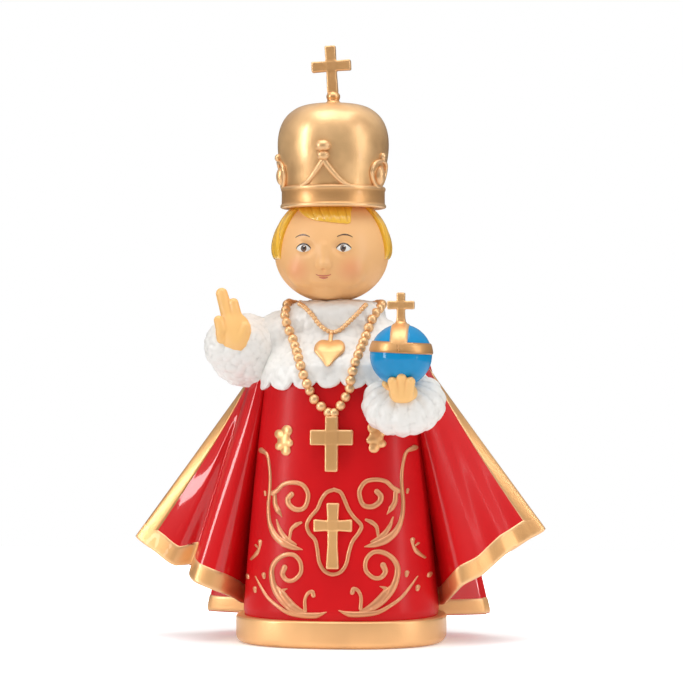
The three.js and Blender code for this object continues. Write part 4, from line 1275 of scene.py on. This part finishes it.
# Each scroll of the left half: places across and up, and widths at even steps from its start to its end.
scrolls = [
    # Tall stem at the side that curls in under the upper volute
    ([(-18.7, 47.7), (-17, 46.7), (-16.3, 44), (-16, 41), (-16.1, 37.9), (-16.4, 34.1), (-16, 30.4),
      (-14.6, 27.4), (-12.2, 25.5), (-9.6, 24.5), (-7.5, 24)],
     (0.75, 0.4, 0.36, 0.4, 0.42, 0.45, 0.55, 0.85, 1.05, 0.75, 0.14)),
    # Upper volute
    ([(-15.1, 37.4), (-13.9, 38.3), (-12.4, 39.7), (-10.1, 40.2), (-7.6, 39.7), (-6.2, 37.7),
      (-6.4, 35.4), (-7.4, 33.9), (-9.3, 33.7), (-10.9, 34.8), (-11.2, 36.2), (-10.3, 37.3)],
     (0.7, 0.55, 0.55, 0.58, 0.58, 0.6, 0.6, 0.62, 0.68, 0.72, 0.72, 0.7)),
    # Leaves below the upper volute
    ([(-14.7, 37.3), (-14.5, 34.8), (-13.7, 33.2), (-12.7, 31.8)], (0.5, 0.62, 0.72, 0.1)),
    ([(-14.1, 31.0), (-13.2, 28.6), (-11.6, 26.6), (-9.0, 25.2)], (0.2, 0.55, 0.7, 0.2)),
    ([(-10.7, 26.4), (-10.3, 28.7), (-9.1, 29.9), (-7.8, 30.5)], (0.35, 0.48, 0.6, 0.35)),
    # Lower volute and its leaves
    ([(-11.9, 19.5), (-12.4, 17.9), (-11.3, 16.5), (-9.5, 16.6), (-7.8, 18.4), (-7.9, 20.9),
      (-9.5, 22.6), (-11.8, 22.6), (-14, 21.2), (-15.2, 19), (-15, 16.2), (-13.9, 13.5),
      (-12, 11.2), (-9.7, 9.4), (-6.8, 8.3)],
     (0.75, 0.66, 0.58, 0.56, 0.56, 0.56, 0.58, 0.62, 0.64, 0.66, 0.75, 0.9, 0.95, 0.8, 0.3)),
    ([(-13.9, 14.9), (-12.6, 13.2), (-10.6, 11.0), (-8.6, 9.6), (-6.6, 8.9)], (0.3, 1.0, 1.05, 0.8, 0.3)),
    ([(-13.2, 13.0), (-12.4, 13.9), (-11.2, 14.4)], (0.5, 0.5, 0.12)),
    # Long stem at the foot and its tendril
    ([(-19.8, 16.8), (-18.2, 14.5), (-16.1, 11.9), (-13.3, 9.9), (-10.7, 8.6), (-7.5, 8.2),
      (-3.9, 8.2), (-1.4, 9.0)],
     (0.15, 0.32, 0.42, 0.5, 0.6, 0.75, 0.75, 0.14)),
    ([(-6.6, 9.2), (-6.7, 11.8), (-6, 13.4), (-4.9, 13.9), (-4.6, 13)], (0.5, 0.44, 0.46, 0.5, 0.6)),
    # Sprig and dots at the side
    ([(-18.6, 25.4), (-18.7, 24.2), (-19.6, 22.4), (-21.3, 20.8)], (0.55, 0.3, 0.5, 0.3)),
    ([(-19.9, 24.4), (-18.9, 23.6)], (0.3, 0.2)),
    ([(-22.4, 16.6), (-22.3, 16.2)], (0.5, 0.45)),
    ([(-17.4, 17.5), (-17.3, 16.8)], (0.55, 0.4)),
    ([(-19.9, 13.9), (-19.8, 13.2)], (0.5, 0.4)),
    ([(-17.4, 37.6), (-17.3, 36.9)], (0.35, 0.3)),
]
medallion_line = [
    (0.3, 38.6), (-1.5, 37.9), (-2.8, 36.2), (-3.8, 33.9), (-5.4, 32), (-6.35, 30.1), (-5.8, 28.1),
    (-4.3, 26.4), (-3.7, 24), (-3.2, 21), (-1.9, 18.9), (0.1, 18.1), (2.1, 18.8), (3.4, 20.8), (4, 23.5),
    (4.8, 26), (6.4, 28.3), (6.9, 30), (5.1, 32), (3.8, 33.9), (2.9, 36), (1.9, 37.9), (0.3, 38.6),
]
mirror_middle, upper_lift, foot_lift, foot_limit = 0.3, 0.8, 0.4, 12
ribs = []
for points, widths in scrolls:
    lift = upper_lift if np.mean([z for x, z in points]) > foot_limit else foot_lift
    mirrored = [(mirror_middle - x, z + lift) for x, z in points]
    ribs += [rib(points, widths), rib(mirrored, widths)]
ribs.append(rib(medallion_line, (0.52, 0.5, 0.52), fineness=8))
make_piece("scrollwork", join(*ribs), bronze_paint)

# %% [markdown]
# ## Crosses and small flowers on the robe
# The cross in the medallion and the pendant cross are flat plates with rounded edges. Their field is
# measured from the robe's surface, so both plates lie on the slope of the robe.

# %% Plates on the robe
def medal_cross_field(p):
    """A cross whose ends spread beyond a third of their length."""
    x, y, z = p[0] - 0.05, p[1] - robe_front(p[0], p[2]), p[2] - 27.4
    spread = 0.5 * np.clip(np.abs(z) / 8 - 0.3, 0, 1)
    arm_spread = 0.35 * np.clip(np.abs(x) / 4.7 - 0.3, 0, 1)
    post = block([x, y, z], (1.25 + spread, 0.95, 8.0), 0.4)
    arm = block([x, y, z - 2.5], (4.75, 0.95, 1.3 + arm_spread), 0.4)
    return blend(post, arm, 0.35)


def pendant_field(p):
    x, y, z = p[0] + 0.35, p[1] - robe_front(0 * p[0], p[2]) + 0.75, p[2] - 49.7
    post = block([x, y, z], (1.58, 1.0, 6.75), 0.38)
    arm = block([x, y, z - 1.55], (5.25, 1.0, 1.88), 0.38)
    return blend(post, arm, 0.25)


def flower_field(p, x, z, side):
    q = [side * (p[0] - x) / 1.2, (p[1] - robe_front(p[0], p[2])) / 0.8, p[2] - z]
    form = ellipsoid(q, (0, 0, 0), (1.5, 1.0, 1.9))
    petals = ((0.6, 2.4, 1.2), (-1.2, 1.5, 1.0), (0.4, -2.5, 1.1), (-1.2, -1.5, 0.85), (1.2, -0.6, 0.8))
    for across, up, radius in petals:
        form = blend(form, ellipsoid(q, (across, 0, up), (radius, 0.9, radius * 1.15)), 0.4)
    return form


plates = [
    cast(medal_cross_field, (-6, -23, 18), (6, -15, 37), 0.18),
    cast(pendant_field, (-6.8, -22, 42), (6, -15, 58), 0.18),
    cast(lambda p: flower_field(p, -12.4, 50.4, 1), (-16.5, -20, 45), (-8, -12, 56), 0.2),
    cast(lambda p: flower_field(p, 10.3, 51.2, -1), (6, -20, 46), (15, -12, 57), 0.2),
]
make_piece("robe_plates", join(*plates), gold_paint)

# %% [markdown]
# ## Necklace and heart
# The beads touch, so they are counted from the length of the string and the pitch of the beads. The
# string lies on the blouse and the robe: each bead is moved in along Y until it rests on them.

# %% Strings of beads
bead_pitch, bead_radius, link_pitch = 2.42, 1.22, 0.98
left_string = [
    (-1.2, 57.3), (-2.4, 58.3), (-4.7, 60.4), (-6.5, 64.2), (-7.6, 66.9), (-8.6, 69.9), (-9.6, 72.4),
    (-10.8, 75), (-12, 77.6), (-13.3, 81.2),
]
right_string = [
    (0.2, 57.2), (1.2, 58.2), (2.7, 60.6), (3.9, 62.9), (4.3, 65.8), (4.9, 68.2), (5.5, 70.3), (6.3, 73),
    (7, 75.6), (7.9, 78.5), (8.8, 81),
]
nape = [
    (-13.2, -2.4, 84), (-12.4, 3, 83.9), (-9.2, 8.4, 83.6), (-1.6, 11.2, 83.3), (6, 8.6, 83.6),
    (9.4, 3, 83.9), (10.2, -2.6, 83.4),
]
chain = [
    (-9.6, 83.9), (-8.2, 83.1), (-6, 81), (-4.6, 79.1), (-2.7, 77.5), (-0.9, 76.9), (0.9, 77.5), (3.1, 79.5),
    (5.2, 81.6), (6.9, 83.6),
]


def chest_field(p):
    return np.minimum(blouse_field(p), torso_field(p))


def rest_on_chest(points, lift):
    """Points of (across, up) set against the chest, half sunk."""
    x, z = np.asarray(points, float).T
    y = walk_in(chest_field, x, z, start=-26.0, back=0.1, ahead=1, limit=-3.0)
    return np.stack([x, y - lift, z], -1)


def evenly(points, pitch):
    """Places along a line at one pitch."""
    length = np.linalg.norm(np.diff(points, axis=0), axis=1).sum()
    return even_line(points, np.linspace(0, length, int(round(length / pitch)) + 1))


def necklace_form():
    """Beads cast by hand: each is a little off its place and its roundness."""
    left = rest_on_chest(open_curve(left_string, 120), 0.55)
    right = rest_on_chest(open_curve(right_string, 120), 0.55)
    behind = open_curve([left[-1], *nape, right[-1]], 160)[2:-2]
    beads = []
    for k, place in enumerate(evenly(np.vstack([left, behind, right[::-1]]), bead_pitch)):
        wobble = scatter(np.array([[k, 1.0, 2.0]]), 4)[0] - 0.5
        beads.append(ball_form(place + wobble * 0.12, bead_radius * (1 + 0.08 * wobble)))
    return join(*beads)


def chain_forms():
    line = rest_on_chest(open_curve(chain, 160), 0.35)
    return [ball_form(place, (0.66, 0.66, 0.58), 12, 8) for place in evenly(line, link_pitch)]


make_piece("necklace", necklace_form(), gold_paint)

# %% Heart
heart_x, heart_z, heart_half = -1.3, 72.0, 3
heart_ends = [(heart_x, heart_z - heart_half), (heart_x, heart_z + heart_half)]
heart_low, heart_high = rest_on_chest(heart_ends, 0.7)[:, 1]


def heart_field(p):
    """Two plump halves and a ring, leaning as the chest leans."""
    up = p[2] - heart_z
    q = [p[0] - heart_x, p[1] - mix(heart_low, heart_high, (up + heart_half) / (2 * heart_half)), up]
    form = limb(q, (0, 0, 2.6), (0, 0, 4.2), 0.5, 0.6)
    halves = [limb(q, (side * 0.05, 0, -2.8), (side * 1.75, 0, 0.95), 0.6, 2.1, 0.5) for side in (-1, 1)]
    middle = limb(q, (0, 0, -2.2), (0, 0, 0.2), 0.8, 2.3, 0.5)
    return blend(form, blend(blend(*halves, 0.6), middle, 0.9), 0.3)


heart = cast(heart_field, (-6.5, heart_low - 4, 67), (5, heart_high + 4, 78.5), 0.18)
make_piece("heart_and_chain", join(heart, *chain_forms()), gold_paint)
